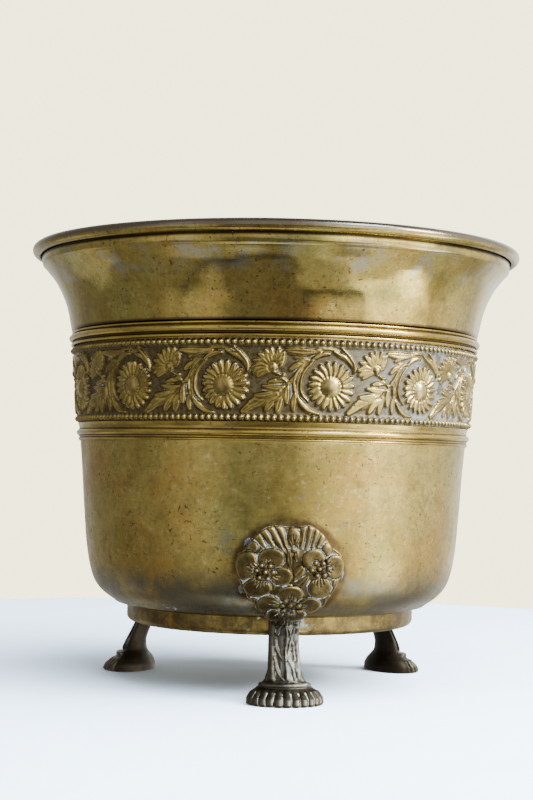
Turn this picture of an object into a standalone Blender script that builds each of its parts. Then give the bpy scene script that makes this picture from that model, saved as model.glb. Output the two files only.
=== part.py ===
"""Brass planter pot on three cast feet, as separate pieces.

The pot is a stack of rings round +Z: a flared collar with a wired rim, a reeded
moulding, a frieze band, a lower moulding, a spun bowl and a pan that closes the
bottom. Three cast feet hang on the outside of the bowl, each held by two screws
from inside and by three tacks of soft solder.

Lengths are written in millimetres and turned into metres by MM. The origin is on
the axis, at the level that the feet stand on. The front foot points along -Y.
"""

import math

import bmesh
import bpy
from mathutils import Matrix, Vector

MM = 0.001

# Driving dimensions, in millimetres.
SHEET = 1.0                  # thickness of the spun brass
GAP = 0.3                    # clearance between pieces that touch
SEGMENTS = 36                # flats round every ring

RIM_RADIUS = 140.4           # outermost point of the rolled rim
RIM_TOP = 246.0
CURL_RADIUS = 3.2            # outside of the rolled edge
CURL_END = math.radians(-115.0)
WIRE_RADIUS = 1.7

CREASE = (132.9, 233.8)      # line where the flare breaks under the rim
NECK_RADIUS = 114.1          # collar, where it steps in behind the frieze
NECK_BOTTOM = 183.0
COLLAR_FOOT = 197.6          # height where the collar's outer face steps in

FRIEZE_TOP = 188.2
FRIEZE_BOTTOM = 145.6
BOWL_NECK_RADIUS = 110.4
BOWL_NECK_TOP = 152.0
BOWL_NECK_BOTTOM = 135.0

PAN_RADIUS = 81.8
PAN_FLOOR = 34.0             # underside of the pan
PAN_CORNER = 3.5
PAN_FLANGE = 4.0             # width of the flange that rests inside the bowl
BOWL_LIP_HEIGHT = 43.6       # lower edge of the bowl, where the pan passes through

MEDALLION_CENTRE = 68.0      # height of the middle of a foot's plate
MEDALLION_HALF_WIDTH = 27.3
MEDALLION_HALF_HEIGHT = 24.6
MEDALLION_CROWN = 7.0        # thickness in the middle, from the bowl
MEDALLION_EDGE = 2.4
SCREW_HEIGHTS = (63.0, 79.0)

SHANK_RADIUS = 1.5
SHANK_LENGTH = 7.6
HOLE_RADIUS = 1.95
HOLE_DEPTH = 5.2             # depth of the hole in the casting
HEAD_RADIUS = 3.4
HEAD_HEIGHT = 2.4
SLOT_WIDTH = 0.9
SLOT_DEPTH = 1.0
WASHER_RADIUS = 4.6
WASHER_THICKNESS = 1.0
FASTENER_SIDES = 12

# Solder tacks: direction round the plate in degrees, length and width of the tack.
TACKS = (
    ("upper", 146.0, 3.2, 2.4),
    ("lower", 195.0, 2.8, 2.2),
    ("side", -2.0, 3.4, 2.3),
)
TACK_HEIGHT = 1.5

STATIONS = (
    ("front", 0.0),
    ("rear_right", 120.0),
    ("rear_left", 240.0),
)

MATERIALS = {
    "brass": ((0.50, 0.36, 0.13), 0.32, 1.0),
    "embossed_brass": ((0.40, 0.28, 0.11), 0.42, 1.0),
    "cast_brass": ((0.27, 0.20, 0.11), 0.48, 1.0),
    "iron": ((0.16, 0.14, 0.13), 0.60, 1.0),
    "screw_brass": ((0.45, 0.33, 0.14), 0.45, 1.0),
    "solder": ((0.42, 0.43, 0.45), 0.50, 1.0),
}


# ---------------------------------------------------------------- outlines (r, z)

def arc(centre, radius, start, end, steps):
    """Points on a circle from one angle to another, both ends included."""
    points = []
    for step in range(steps + 1):
        angle = start + (end - start) * step / steps
        points.append((centre[0] + radius * math.cos(angle), centre[1] + radius * math.sin(angle)))
    return points


def smooth_curve(knots, steps):
    """A curve that passes through every knot, with the given steps between two."""
    knots = [Vector(knot) for knot in knots]
    ends = [2 * knots[0] - knots[1]] + knots + [2 * knots[-1] - knots[-2]]
    points = []
    for i in range(1, len(ends) - 2):
        before, start, end, after = ends[i - 1:i + 3]
        for step in range(steps):
            t = step / steps
            point = 0.5 * (
                2 * start
                + (end - before) * t
                + (2 * before - 5 * start + 4 * end - after) * t ** 2
                + (3 * start - before - 3 * end + after) * t ** 3
            )
            points.append(tuple(point))
    points.append(tuple(knots[-1]))
    return points


def offset_curve(curve, distance):
    """The curve moved sideways, to the right of its own direction."""
    moved = []
    for i, point in enumerate(curve):
        here = Vector(point)
        normals = []
        if i > 0:
            along = (here - Vector(curve[i - 1])).normalized()
            normals.append(Vector((along.y, -along.x)))
        if i < len(curve) - 1:
            along = (Vector(curve[i + 1]) - here).normalized()
            normals.append(Vector((along.y, -along.x)))
        miter = (normals[0] + normals[-1]) / (1.0 + normals[0].dot(normals[-1]))
        moved.append(tuple(here + miter * distance))
    return moved


def sheet_outline(outer):
    """Closed outline of a sheet whose outer face runs down the given curve."""
    return outer + offset_curve(outer, SHEET)[::-1]


def collar_curve():
    """Outer face of the collar, from the end of the rolled edge to the hidden neck."""
    curl_centre = (RIM_RADIUS - CURL_RADIUS, RIM_TOP - CURL_RADIUS)
    curl_inside = CURL_RADIUS - SHEET
    wall_top = curl_centre[0] - curl_inside
    roll = arc(curl_centre, curl_inside, CURL_END, math.pi, 8)
    lip = [(wall_top, 238.6), CREASE]
    flare = smooth_curve([CREASE, (126.0, 225.0), (120.2, 212.5), (116.7, COLLAR_FOOT)], 2)[1:]
    neck = [(NECK_RADIUS, COLLAR_FOOT - 1.6), (NECK_RADIUS, NECK_BOTTOM)]
    return roll + lip + flare + neck


def frieze_curve():
    """Outer face of the frieze: a bead row, the ornament zone and a second bead row."""
    return [
        (115.5, FRIEZE_TOP), (116.3, 185.3), (115.2, 183.2),
        (113.7, 168.0), (112.6, 151.0), (113.0, 147.2), (111.8, FRIEZE_BOTTOM),
    ]


BOWL_SIDE = [
    (BOWL_NECK_RADIUS, BOWL_NECK_BOTTOM), (108.9, 118.0), (107.3, 96.0), (105.3, 75.0),
    (102.1, 60.0), (97.2, 51.9), (88.3, 45.1),
]


BOWL_LIP = (PAN_RADIUS + GAP, BOWL_LIP_HEIGHT)


def bowl_curve():
    """Outer face of the bowl, from the neck behind the frieze to the hole in its floor."""
    return [(BOWL_NECK_RADIUS, BOWL_NECK_TOP)] + smooth_curve(BOWL_SIDE, 2) + [BOWL_LIP]


def pan_curve():
    """Outer face of the pan: a flange that lies on the bowl's floor, the wall, the corner."""
    slope = (BOWL_SIDE[-1][1] - BOWL_LIP[1]) / (BOWL_SIDE[-1][0] - BOWL_LIP[0])
    flange_base = BOWL_LIP_HEIGHT + SHEET + 2 * GAP
    flange_end = (PAN_RADIUS + PAN_FLANGE, flange_base + slope * PAN_FLANGE)
    corner = (PAN_RADIUS - PAN_CORNER, PAN_FLOOR + PAN_CORNER)
    return (
        [flange_end, (PAN_RADIUS, flange_base)]
        + arc(corner, PAN_CORNER, 0.0, -math.pi / 2, 3)
        + [(0.0, PAN_FLOOR)]
    )


def moulding_outline():
    """Solid drawn strip: a fillet, the main reed, a second fillet and a cove."""
    back = NECK_RADIUS + GAP
    return (
        [(back, 195.6), (back, 188.7), (116.3, 188.7)]
        + arc((116.5, 190.6), 0.8, -0.35 * math.pi, 0.35 * math.pi, 2)
        + arc((116.6, 193.2), 1.5, -0.35 * math.pi, 0.35 * math.pi, 3)
        + arc((116.5, 195.6), 0.8, -0.35 * math.pi, 0.35 * math.pi, 2)
        + [(116.4, 196.8)]
    )


def lower_moulding_outline():
    """Solid drawn strip below the frieze: a plain cove, one reed and a thin fillet."""
    back = BOWL_NECK_RADIUS + GAP
    return (
        [(back, 145.3), (back, 135.4), (111.2, 135.4), (111.6, 136.4), (111.2, 137.4)]
        + arc((111.0, 140.0), 1.7, -0.35 * math.pi, 0.35 * math.pi, 3)
        + [(111.6, 143.2), (112.0, 145.3)]
    )


# ---------------------------------------------------------------- meshes and objects

def new_object(name, mesh, material, parent=None):
    """Link a mesh as a named piece with its finish, smooth where it is round."""
    mesh.materials.clear()
    mesh.materials.append(material)
    mesh.shade_smooth()
    mesh.set_sharp_from_angle(angle=math.radians(32.0))
    piece = bpy.data.objects.new(name, mesh)
    bpy.context.scene.collection.objects.link(piece)
    piece.parent = parent
    return piece


def mesh_from(bm, name):
    """Close the bmesh: merge touching corners, face outwards, store as a mesh in metres."""
    bmesh.ops.remove_doubles(bm, verts=bm.verts, dist=1e-4)
    bmesh.ops.recalc_face_normals(bm, faces=bm.faces)
    bmesh.ops.scale(bm, vec=(MM, MM, MM), verts=bm.verts)
    mesh = bpy.data.meshes.new(name)
    bm.to_mesh(mesh)
    bm.free()
    return mesh


def spun_mesh(name, outline):
    """Turn an outline of (radius, height) points once round the axis.

    An outline whose two ends lie on the axis is left open there. The first
    corner is turned by half a flat, so that each foot faces the middle of one.
    """
    bm = bmesh.new()
    half_flat = math.pi / SEGMENTS
    direction = Vector((math.cos(half_flat), math.sin(half_flat), 0.0))
    verts = [bm.verts.new(direction * radius + Vector((0.0, 0.0, height))) for radius, height in outline]
    edges = [bm.edges.new(pair) for pair in zip(verts, verts[1:])]
    if outline[0][0] > 0.0:
        edges.append(bm.edges.new((verts[-1], verts[0])))
    bmesh.ops.spin(
        bm, geom=verts + edges, cent=(0.0, 0.0, 0.0), axis=(0.0, 0.0, 1.0),
        angle=2.0 * math.pi, steps=SEGMENTS, use_merge=True,
    )
    return mesh_from(bm, name)


def stacked_mesh(name, rings):
    """Skin a stack of closed rings of points and cap both ends."""
    bm = bmesh.new()
    loops = [[bm.verts.new(point) for point in ring] for ring in rings]
    count = len(loops[0])
    for low, high in zip(loops, loops[1:]):
        for i in range(count):
            j = (i + 1) % count
            bm.faces.new((low[i], low[j], high[j], high[i]))
    bm.faces.new(loops[0][::-1])
    bm.faces.new(loops[-1])
    return mesh_from(bm, name)


def disc_ring(radius, height, sides):
    """A ring of points round +Z."""
    angles = [2.0 * math.pi * i / sides for i in range(sides)]
    return [(radius * math.cos(a), radius * math.sin(a), height) for a in angles]


def with_booleans(name, base, cutters=(), additions=()):
    """Join the additions to the base mesh, take the cutters out, and return the mesh."""
    scene_objects = bpy.context.scene.collection.objects
    work = bpy.data.objects.new(name, base)
    scene_objects.link(work)
    helpers = []
    for operation, meshes in (("UNION", additions), ("DIFFERENCE", cutters)):
        for mesh in meshes:
            helper = bpy.data.objects.new(mesh.name, mesh)
            helper.hide_render = True
            helper.display_type = "WIRE"
            scene_objects.link(helper)
            helpers.append(helper)
            modifier = work.modifiers.new(mesh.name, "BOOLEAN")
            modifier.operation = operation
            modifier.solver = "EXACT"
            modifier.object = helper
    evaluated = work.evaluated_get(bpy.context.evaluated_depsgraph_get())
    result = bpy.data.meshes.new_from_object(evaluated)
    result.name = name
    for piece in [work] + helpers:
        bpy.data.objects.remove(piece, do_unlink=True)
    return result


# ---------------------------------------------------------------- the bowl's surface

def bowl_surface(height):
    """Radius of the bowl's outer face at a height, and its outward normal (r, z)."""
    side = bowl_curve()[1:]
    for (r_high, z_high), (r_low, z_low) in zip(side, side[1:]):
        if height >= z_low:
            break
    share = (height - z_low) / (z_high - z_low)
    along = Vector((r_high - r_low, z_high - z_low)).normalized()
    return r_low + share * (r_high - r_low), Vector((along.y, -along.x))


def on_bowl(across, height, lift):
    """Point above the bowl at the front: distance round it, height, lift off its face."""
    radius, normal = bowl_surface(height)
    angle = across / radius
    radius += lift * normal.x
    return (radius * math.sin(angle), -radius * math.cos(angle), height + lift * normal.y)


def medallion_radius(angle):
    """Distance from the middle of the plate to its scalloped edge."""
    x = math.cos(angle) / MEDALLION_HALF_WIDTH
    y = math.sin(angle) / MEDALLION_HALF_HEIGHT
    scallop = 0.7 * math.cos(9.0 * (angle - math.pi / 2.0))
    return 1.0 / math.hypot(x, y) + scallop


def medallion_point(angle, share, lift):
    """Point of the plate in a direction from its middle, at a share of the way out."""
    reach = share * medallion_radius(angle)
    return on_bowl(reach * math.cos(angle), MEDALLION_CENTRE + reach * math.sin(angle), lift)


# ---------------------------------------------------------------- the feet

def medallion_mesh():
    """Crowned plate, with its back sunk into the bowl so that it can be fitted to it."""
    sides = 36
    sunk = -1.5
    angles = [2.0 * math.pi * i / sides for i in range(sides)]
    rise = MEDALLION_CROWN - MEDALLION_EDGE
    rings = [[medallion_point(a, 0.35, sunk) for a in angles]]
    rings.append([medallion_point(a, 1.0, sunk) for a in angles])
    for share in (1.0, 0.86, 0.6, 0.3):
        lift = MEDALLION_EDGE + rise * math.sqrt(1.0 - share ** 2)
        rings.append([medallion_point(a, share, lift) for a in angles])
    return stacked_mesh("medallion", rings)


# Height, middle of the section, half width, half depth, depth of the flutes and the
# exponent of the outline: 2 is an ellipse, less is drawn in towards a ridge.
LEG_SECTIONS = (
    (0.0, 91.0, 18.6, 13.0, 0.00, 2.0),
    (1.4, 91.0, 19.8, 13.9, 0.02, 2.0),
    (3.8, 90.3, 20.0, 13.6, 0.03, 2.0),
    (7.0, 89.3, 17.8, 10.9, 0.03, 2.0),
    (9.0, 89.2, 14.4, 8.6, 0.00, 2.0),
    (9.6, 89.2, 13.2, 8.2, 0.00, 2.0),
    (11.0, 89.0, 13.2, 8.0, 0.00, 2.0),
    (11.6, 88.6, 10.1, 7.0, 0.00, 1.6),
    (17.0, 87.7, 9.4, 4.8, 0.00, 1.6),
    (23.0, 84.5, 8.8, 4.4, 0.00, 1.6),
    (29.0, 81.7, 8.3, 4.3, 0.00, 1.6),
    (34.0, 80.7, 8.2, 4.4, 0.00, 1.6),
    (40.0, 82.2, 8.4, 4.0, 0.00, 1.6),
    (46.0, 86.8, 8.8, 4.4, 0.00, 1.6),
    (53.0, 95.0, 9.4, 5.4, 0.00, 1.6),
)


def leg_mesh():
    """Fluted pedestal, collar ring and waisted column, in one stack of sections."""
    sides = 24
    rings = []
    for height, middle, half_width, half_depth, flute, exponent in LEG_SECTIONS:
        ring = []
        for i in range(sides):
            angle = 2.0 * math.pi * (i + 0.5) / sides
            swell = 1.0 + flute * (-1) ** i
            across = math.copysign(abs(math.cos(angle)) ** (2.0 / exponent), math.cos(angle))
            inward = math.copysign(abs(math.sin(angle)) ** (2.0 / exponent), math.sin(angle))
            ring.append((half_width * swell * across, half_depth * swell * inward - middle, height))
        rings.append(ring)
    return stacked_mesh("leg", rings)


def pot_envelope_mesh():
    """Space that bowl and pan fill, grown by the gap: it shapes the back of a foot."""
    outer = [(BOWL_NECK_RADIUS, BOWL_NECK_TOP)] + bowl_curve()[1:-1]
    grown = offset_curve(outer, -GAP)
    wall = PAN_RADIUS + GAP
    corner = (PAN_RADIUS - PAN_CORNER, PAN_FLOOR + PAN_CORNER)
    low = [(wall, BOWL_LIP_HEIGHT - GAP)] + arc(corner, PAN_CORNER + GAP, 0.0, -math.pi / 2, 3)
    top = [(0.0, BOWL_NECK_TOP)]
    return spun_mesh("pot_envelope", top + grown + low + [(0.0, PAN_FLOOR - GAP)])


def fastener_matrix(height, lift):
    """Frame on the bowl's outer face whose Z points inwards, square to the wall."""
    normal = bowl_surface(height)[1]
    outward = Vector((0.0, -normal.x, normal.y))
    side = Vector((1.0, 0.0, 0.0))
    up = (-outward).cross(side)
    place = Vector(on_bowl(0.0, height, lift))
    flat_inset = Vector((0.0, bowl_surface(height)[0] * (1.0 - math.cos(math.pi / SEGMENTS)), 0.0))
    matrix = Matrix((side, up, -outward)).transposed().to_4x4()
    matrix.translation = (place + flat_inset) * MM
    return matrix


def drill_mesh(height, low, high):
    """Round cutter square to the bowl's wall, between two depths measured inwards."""
    rings = [disc_ring(HOLE_RADIUS, depth, FASTENER_SIDES) for depth in (low, high)]
    mesh = stacked_mesh("drill", rings)
    mesh.transform(fastener_matrix(height, 0.0))
    return mesh


def foot_mesh():
    """One casting: plate, column and pedestal, fitted to the pot and drilled."""
    drills = [drill_mesh(height, -HOLE_DEPTH, SHEET) for height in SCREW_HEIGHTS]
    return with_booleans(
        "foot", leg_mesh(), additions=[medallion_mesh()], cutters=[pot_envelope_mesh()] + drills,
    )


def bowl_mesh():
    """Spun bowl with a clearance hole for each screw of each foot."""
    drills = []
    for _, turn in STATIONS:
        for height in SCREW_HEIGHTS:
            drill = drill_mesh(height, -2.0 * SHEET, 3.0 * SHEET)
            drill.transform(Matrix.Rotation(math.radians(turn), 4, "Z"))
            drills.append(drill)
    return with_booleans("bowl", spun_mesh("bowl_sheet", sheet_outline(bowl_curve())), cutters=drills)


def screw_mesh():
    """Slotted cheese-head screw along +Z, its head's underside at zero."""
    profile = (
        (SHANK_RADIUS * 0.7, -SHANK_LENGTH),
        (SHANK_RADIUS, -SHANK_LENGTH + 0.6),
        (SHANK_RADIUS, 0.0),
        (HEAD_RADIUS, 0.0),
        (HEAD_RADIUS, HEAD_HEIGHT - 0.6),
        (HEAD_RADIUS - 0.8, HEAD_HEIGHT),
    )
    rings = [disc_ring(radius, height, FASTENER_SIDES) for radius, height in profile]
    body = stacked_mesh("screw_body", rings)
    x = HEAD_RADIUS + 1.0
    y = SLOT_WIDTH / 2.0
    corners = ((-x, -y), (x, -y), (x, y), (-x, y))
    depths = (HEAD_HEIGHT - SLOT_DEPTH, HEAD_HEIGHT + 1.0)
    slot = stacked_mesh("slot", [[(cx, cy, depth) for cx, cy in corners] for depth in depths])
    return with_booleans("screw", body, cutters=[slot])


def washer_mesh():
    """Flat washer along +Z, its lower face at zero."""
    bm = bmesh.new()
    outline = (
        (HOLE_RADIUS, 0.0), (WASHER_RADIUS, 0.0),
        (WASHER_RADIUS, WASHER_THICKNESS), (HOLE_RADIUS, WASHER_THICKNESS),
    )
    loops = [[bm.verts.new(point) for point in disc_ring(radius, height, FASTENER_SIDES)]
             for radius, height in outline]
    for k, loop in enumerate(loops):
        after = loops[(k + 1) % len(loops)]
        for i in range(FASTENER_SIDES):
            j = (i + 1) % FASTENER_SIDES
            bm.faces.new((loop[i], loop[j], after[j], after[i]))
    return mesh_from(bm, "washer")


def tack_mesh(direction, length, width):
    """Low blob of solder on the bowl, just outside the edge of the plate."""
    sides = 12
    angle = math.radians(direction)
    reach = medallion_radius(angle) + width + 2.0 * GAP
    middle = (reach * math.cos(angle), MEDALLION_CENTRE + reach * math.sin(angle))
    out = Vector((math.cos(angle), math.sin(angle)))
    along = Vector((-out.y, out.x))
    rings = []
    for share, lift in ((0.8, 0.0), (1.0, 0.25), (0.75, 0.8), (0.35, 1.0)):
        ring = []
        for i in range(sides):
            turn = 2.0 * math.pi * i / sides
            spot = Vector(middle) + share * (
                along * length * math.cos(turn) + out * width * math.sin(turn)
            )
            ring.append(on_bowl(spot.x, spot.y, GAP + lift * TACK_HEIGHT))
        rings.append(ring)
    return stacked_mesh("tack", rings)


# ---------------------------------------------------------------- the assembly

def make_material(name, colour, roughness, metallic):
    """Plain finish for one kind of metal."""
    material = bpy.data.materials.new(name)
    material.use_nodes = True
    shader = material.node_tree.nodes["Principled BSDF"]
    shader.inputs["Base Color"].default_value = (*colour, 1.0)
    shader.inputs["Roughness"].default_value = roughness
    shader.inputs["Metallic"].default_value = metallic
    return material


def build_rings(materials):
    """Everything that is turned round the axis."""
    brass = materials["brass"]
    wire_centre = (RIM_RADIUS - CURL_RADIUS, RIM_TOP - CURL_RADIUS)
    wire = arc(wire_centre, WIRE_RADIUS, 0.0, 2.0 * math.pi * 7 / 8, 7)
    rings = (
        ("flared_collar", sheet_outline(collar_curve()), brass),
        ("rim_wire", wire, materials["iron"]),
        ("upper_moulding", moulding_outline(), brass),
        ("frieze_band", sheet_outline(frieze_curve()), materials["embossed_brass"]),
        ("lower_moulding", lower_moulding_outline(), brass),
        ("base_pan", sheet_outline(pan_curve()), brass),
    )
    for name, outline, material in rings:
        new_object(name, spun_mesh(name, outline), material)
    new_object("bowl", bowl_mesh(), brass)


def build_feet(materials):
    """Three castings, each with its screws, washers and solder tacks."""
    foot = foot_mesh()
    screw = screw_mesh()
    washer = washer_mesh()
    washer_lift = -(SHEET + GAP)
    head_lift = washer_lift - WASHER_THICKNESS - GAP
    for station_name, turn in STATIONS:
        station = bpy.data.objects.new("station_" + station_name, None)
        bpy.context.scene.collection.objects.link(station)
        station.rotation_euler.z = math.radians(turn)
        new_object("foot_" + station_name, foot, materials["cast_brass"], station)
        for level, height in zip(("lower", "upper"), SCREW_HEIGHTS):
            label = f"{station_name}_{level}"
            seat = new_object("washer_" + label, washer, materials["screw_brass"], station)
            seat.matrix_local = fastener_matrix(height, washer_lift)
            bolt = new_object("screw_" + label, screw, materials["screw_brass"], station)
            bolt.matrix_local = fastener_matrix(height, head_lift)
        for tack_name, direction, length, width in TACKS:
            mesh = tack_mesh(direction, length, width)
            new_object(f"solder_{station_name}_{tack_name}", mesh, materials["solder"], station)


def main():
    """Clear the scene and build the pot."""
    for old in list(bpy.data.objects):
        bpy.data.objects.remove(old, do_unlink=True)
    materials = {name: make_material(name, *look) for name, look in MATERIALS.items()}
    build_rings(materials)
    build_feet(materials)
    bpy.context.view_layer.update()


main()
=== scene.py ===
"""Looks of the brass planter pot: fine surfaces, finishes, soft light and the camera.

Shapes are worked out in millimetres round the pot's axis and written in metres by MM.
On a surface, "across" is the distance round the pot from a middle line, "up" is the
height, and "lift" is the distance outwards from the plain metal.
"""

import math

import bmesh
import bpy
import numpy as np
from mathutils import Matrix, Vector


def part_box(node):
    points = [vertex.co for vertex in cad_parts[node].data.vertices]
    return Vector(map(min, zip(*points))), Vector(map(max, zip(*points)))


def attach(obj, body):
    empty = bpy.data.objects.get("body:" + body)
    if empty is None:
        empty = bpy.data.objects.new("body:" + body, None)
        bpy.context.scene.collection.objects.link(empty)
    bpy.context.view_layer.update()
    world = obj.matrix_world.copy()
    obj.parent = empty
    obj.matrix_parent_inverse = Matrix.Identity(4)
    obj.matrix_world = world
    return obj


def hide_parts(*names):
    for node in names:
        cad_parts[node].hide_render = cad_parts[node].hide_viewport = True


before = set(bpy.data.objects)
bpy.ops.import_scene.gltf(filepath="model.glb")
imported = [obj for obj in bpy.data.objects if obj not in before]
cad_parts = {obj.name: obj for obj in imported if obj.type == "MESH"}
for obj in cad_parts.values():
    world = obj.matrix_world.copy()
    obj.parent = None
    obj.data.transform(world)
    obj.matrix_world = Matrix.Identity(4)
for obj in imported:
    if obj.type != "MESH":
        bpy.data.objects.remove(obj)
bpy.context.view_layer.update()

MM = 0.001
TURN = 2.0 * math.pi

# ---------------------------------------------------------------- driving dimensions (mm)

SHEET = 1.0                  # thickness of the spun brass
ROUND = 360                  # flats round a turned ring

RIM_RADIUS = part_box("flared_collar")[1][0] / MM
RIM_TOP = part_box("flared_collar")[1][2] / MM
CURL_RADIUS = 3.2            # outside of the rolled edge
CURL_END = math.radians(-115.0)
WIRE_RADIUS = 1.7
CREASE = (132.9, 233.8)      # line where the flare breaks under the rim
NECK_RADIUS = 114.1
NECK_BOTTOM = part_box("flared_collar")[0][2] / MM
COLLAR_FOOT = 197.6

FRIEZE_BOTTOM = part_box("frieze_band")[0][2] / MM
FRIEZE_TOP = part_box("frieze_band")[1][2] / MM
FRIEZE_REPEATS = 13
FRIEZE_ARCS = (5, 4, 4)      # repeats in each piece of the strip
FRIEZE_START = math.radians(9.3)  # the daisy nearest the front foot
REPEAT_LENGTH = 55.1
REPEAT_LEFT = -46.0          # start of a repeat, from the middle of its daisy
DAISY_HEIGHT = 163.8
REPEAT_COLUMNS = 156         # points of the mesh along one repeat
FRIEZE_ROWS = 118            # and up the strip
BEADS = 16                   # in one repeat
FIRST_BEAD = -27.5           # edge of the first one

BOWL_NECK_RADIUS = 110.4
BOWL_NECK_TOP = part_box("bowl")[1][2] / MM
BOWL_LIP_HEIGHT = 43.6
BOWL_SIDE = [
    (BOWL_NECK_RADIUS, 135.0), (108.9, 118.0), (107.3, 96.0), (105.3, 75.0),
    (102.1, 60.0), (97.2, 51.9), (88.3, 45.1),
]
PAN_RADIUS = 81.8
PAN_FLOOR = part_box("base_pan")[0][2] / MM
PAN_CORNER = 3.5
PAN_FLANGE = 4.0
GAP = 0.3

PLATE_CENTRE = 70.0          # height of the middle of a foot's plate
PLATE_HALF = (28.0, 25.0)    # its half width and half height
PLATE_EDGE = 2.2             # lift of the plate's edge
PLATE_CROWN = 2.6            # how much further its middle stands out
PLATE_BOTTOM = 46.0          # below this only the column is in front of the pot
COLUMN_SHARE = 0.32          # half the column, in half plates
SCREW_HEIGHTS = (63.0, 79.0)
STATIONS = (("front", 0.0), ("rear_right", 120.0), ("rear_left", 240.0))


# ---------------------------------------------------------------- curves

def arc(centre, radius, start, end, steps):
    """Points on a circle from one angle to another, both ends included."""
    angles = np.linspace(start, end, steps + 1)
    return [(centre[0] + radius * math.cos(a), centre[1] + radius * math.sin(a)) for a in angles]


def smooth_curve(knots, steps):
    """A curve that passes through every knot, with the given steps between two."""
    knots = [Vector(knot) for knot in knots]
    ends = [2 * knots[0] - knots[1]] + knots + [2 * knots[-1] - knots[-2]]
    points = []
    for i in range(1, len(ends) - 2):
        before, start, end, after = ends[i - 1:i + 3]
        for step in range(steps):
            t = step / steps
            points.append(tuple(0.5 * (
                2 * start
                + (end - before) * t
                + (2 * before - 5 * start + 4 * end - after) * t ** 2
                + (3 * start - before - 3 * end + after) * t ** 3
            )))
    points.append(tuple(knots[-1]))
    return points


def offset_curve(curve, distance):
    """The curve moved sideways, to the right of its own direction."""
    points = np.array(curve)
    along = np.gradient(points, axis=0)
    along /= np.linalg.norm(along, axis=1)[:, None]
    return [tuple(p) for p in points + distance * np.stack([along[:, 1], -along[:, 0]], axis=1)]


def fine_curve(curve, pitch):
    """The same curve with a point at least every pitch."""
    points = [curve[0]]
    for start, end in zip(curve, curve[1:]):
        steps = max(1, math.ceil(math.dist(start, end) / pitch))
        for step in range(1, steps + 1):
            points.append(tuple(Vector(start).lerp(Vector(end), step / steps)))
    return points


def sheet_outline(outer, pitch=1.2):
    """Closed outline of a sheet whose outer face runs down the given curve."""
    outer = fine_curve(outer, pitch)
    return outer + offset_curve(outer, SHEET)[::-1]


def bell(value, middle, width):
    """A hump, 1 at its middle and nearly gone two widths away."""
    return np.exp(-((value - middle) / width) ** 2)


def dome(away, power=2.0):
    """The height of a round boss, 1 in its middle and 0 at a distance of 1."""
    return np.sqrt(np.clip(1.0 - away ** power, 0.0, 1.0))


def ramp(value, start, end):
    """0 before start and 1 past end, straight between them."""
    return np.clip((value - start) / (end - start), 0.0, 1.0)


def round_pot(radius, angle, height):
    """Grid of points at a radius, an angle from the front of the pot, and a height."""
    return np.stack([radius * np.sin(angle), -radius * np.cos(angle), height], axis=-1)


# ---------------------------------------------------------------- meshes

def ring_noise(angle, height, seed, most_turns, most_climb, waves=24):
    """Smooth seeded noise round the pot, about -1 to 1."""
    random = np.random.RandomState(seed)
    total = 0.0
    for _ in range(waves):
        turns = random.randint(1, most_turns + 1)
        climb = random.uniform(-most_climb, most_climb)
        total = total + np.sin(turns * angle + climb * height + random.uniform(0.0, TURN))
    return total / math.sqrt(waves)


def skin(name, points, close_rows=True, close_columns=True, poles=()):
    """Mesh of quads over a grid of points in millimetres, rows by columns, facing out.

    poles are one point below the first row and one above the last, for a closed end.
    """
    rows, columns = points.shape[:2]
    index = np.arange(rows * columns).reshape(rows, columns)
    if close_rows:
        index = np.concatenate([index, index[:1]])
    if close_columns:
        index = np.concatenate([index, index[:, :1]], axis=1)
    corners = (index[:-1, :-1], index[:-1, 1:], index[1:, 1:], index[1:, :-1])
    quads = np.stack(corners, axis=-1).reshape(-1, 4)
    flat = points.reshape(-1, 3)
    spread = np.cross(flat[quads[:, 2]] - flat[quads[:, 0]], flat[quads[:, 3]] - flat[quads[:, 1]])
    inside_out = (flat[quads].mean(axis=1) * spread).sum() < 0.0
    faces = quads.tolist()
    for pole, row, step in zip(range(len(poles)), (index[0], index[-1]), (-1, 1)):
        tip = len(flat) + pole
        faces += [[tip, a, b][::step] for a, b in zip(row[:-1].tolist(), row[1:].tolist())]
    if not close_columns:
        faces += [index[:-1, 0].tolist()[::-1], index[:-1, -1].tolist()]
    if inside_out:
        faces = [face[::-1] for face in faces]
    corner_list = (flat * MM).tolist() + [[c * MM for c in pole] for pole in poles]
    mesh = bpy.data.meshes.new(name)
    mesh.from_pydata(corner_list, [], faces)
    mesh.shade_smooth()
    return mesh


def turned_points(outline, columns, wobble=None):
    """Grid of a closed (radius, height) outline turned round the axis."""
    outline = np.array(outline)
    angle = np.arange(columns) * TURN / columns
    radius = outline[:, 0][:, None] + np.zeros(columns)
    height = outline[:, 1][:, None] + np.zeros(columns)
    if wobble:
        radius = radius + wobble(angle[None, :], height)
    return round_pot(radius, angle, height)


def add_attribute(mesh, name, values, rest=0.0):
    """Store one number for each corner of the mesh, for its finish to read, rest past the values."""
    full = np.full(len(mesh.vertices), rest, dtype=np.float32)
    full[:values.size] = values.ravel()
    mesh.attributes.new(name, "FLOAT", "POINT").data.foreach_set("value", full)


def put(name, data):
    """A mesh, light or camera as an object of the scene."""
    thing = bpy.data.objects.new(name, data)
    bpy.context.scene.collection.objects.link(thing)
    return thing


def show(name, mesh, finish, node, matrix=None):
    """Put a piece in place of its CAD node, riding on the pot."""
    mesh.materials.clear()
    mesh.materials.append(finish)
    piece = put(name, mesh)
    if matrix is not None:
        piece.matrix_world = matrix
        bpy.context.view_layer.update()
    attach(piece, "root")
    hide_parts(node)


# ---------------------------------------------------------------- relief

FAR = 9.0                    # stands for a distance out of reach


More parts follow.
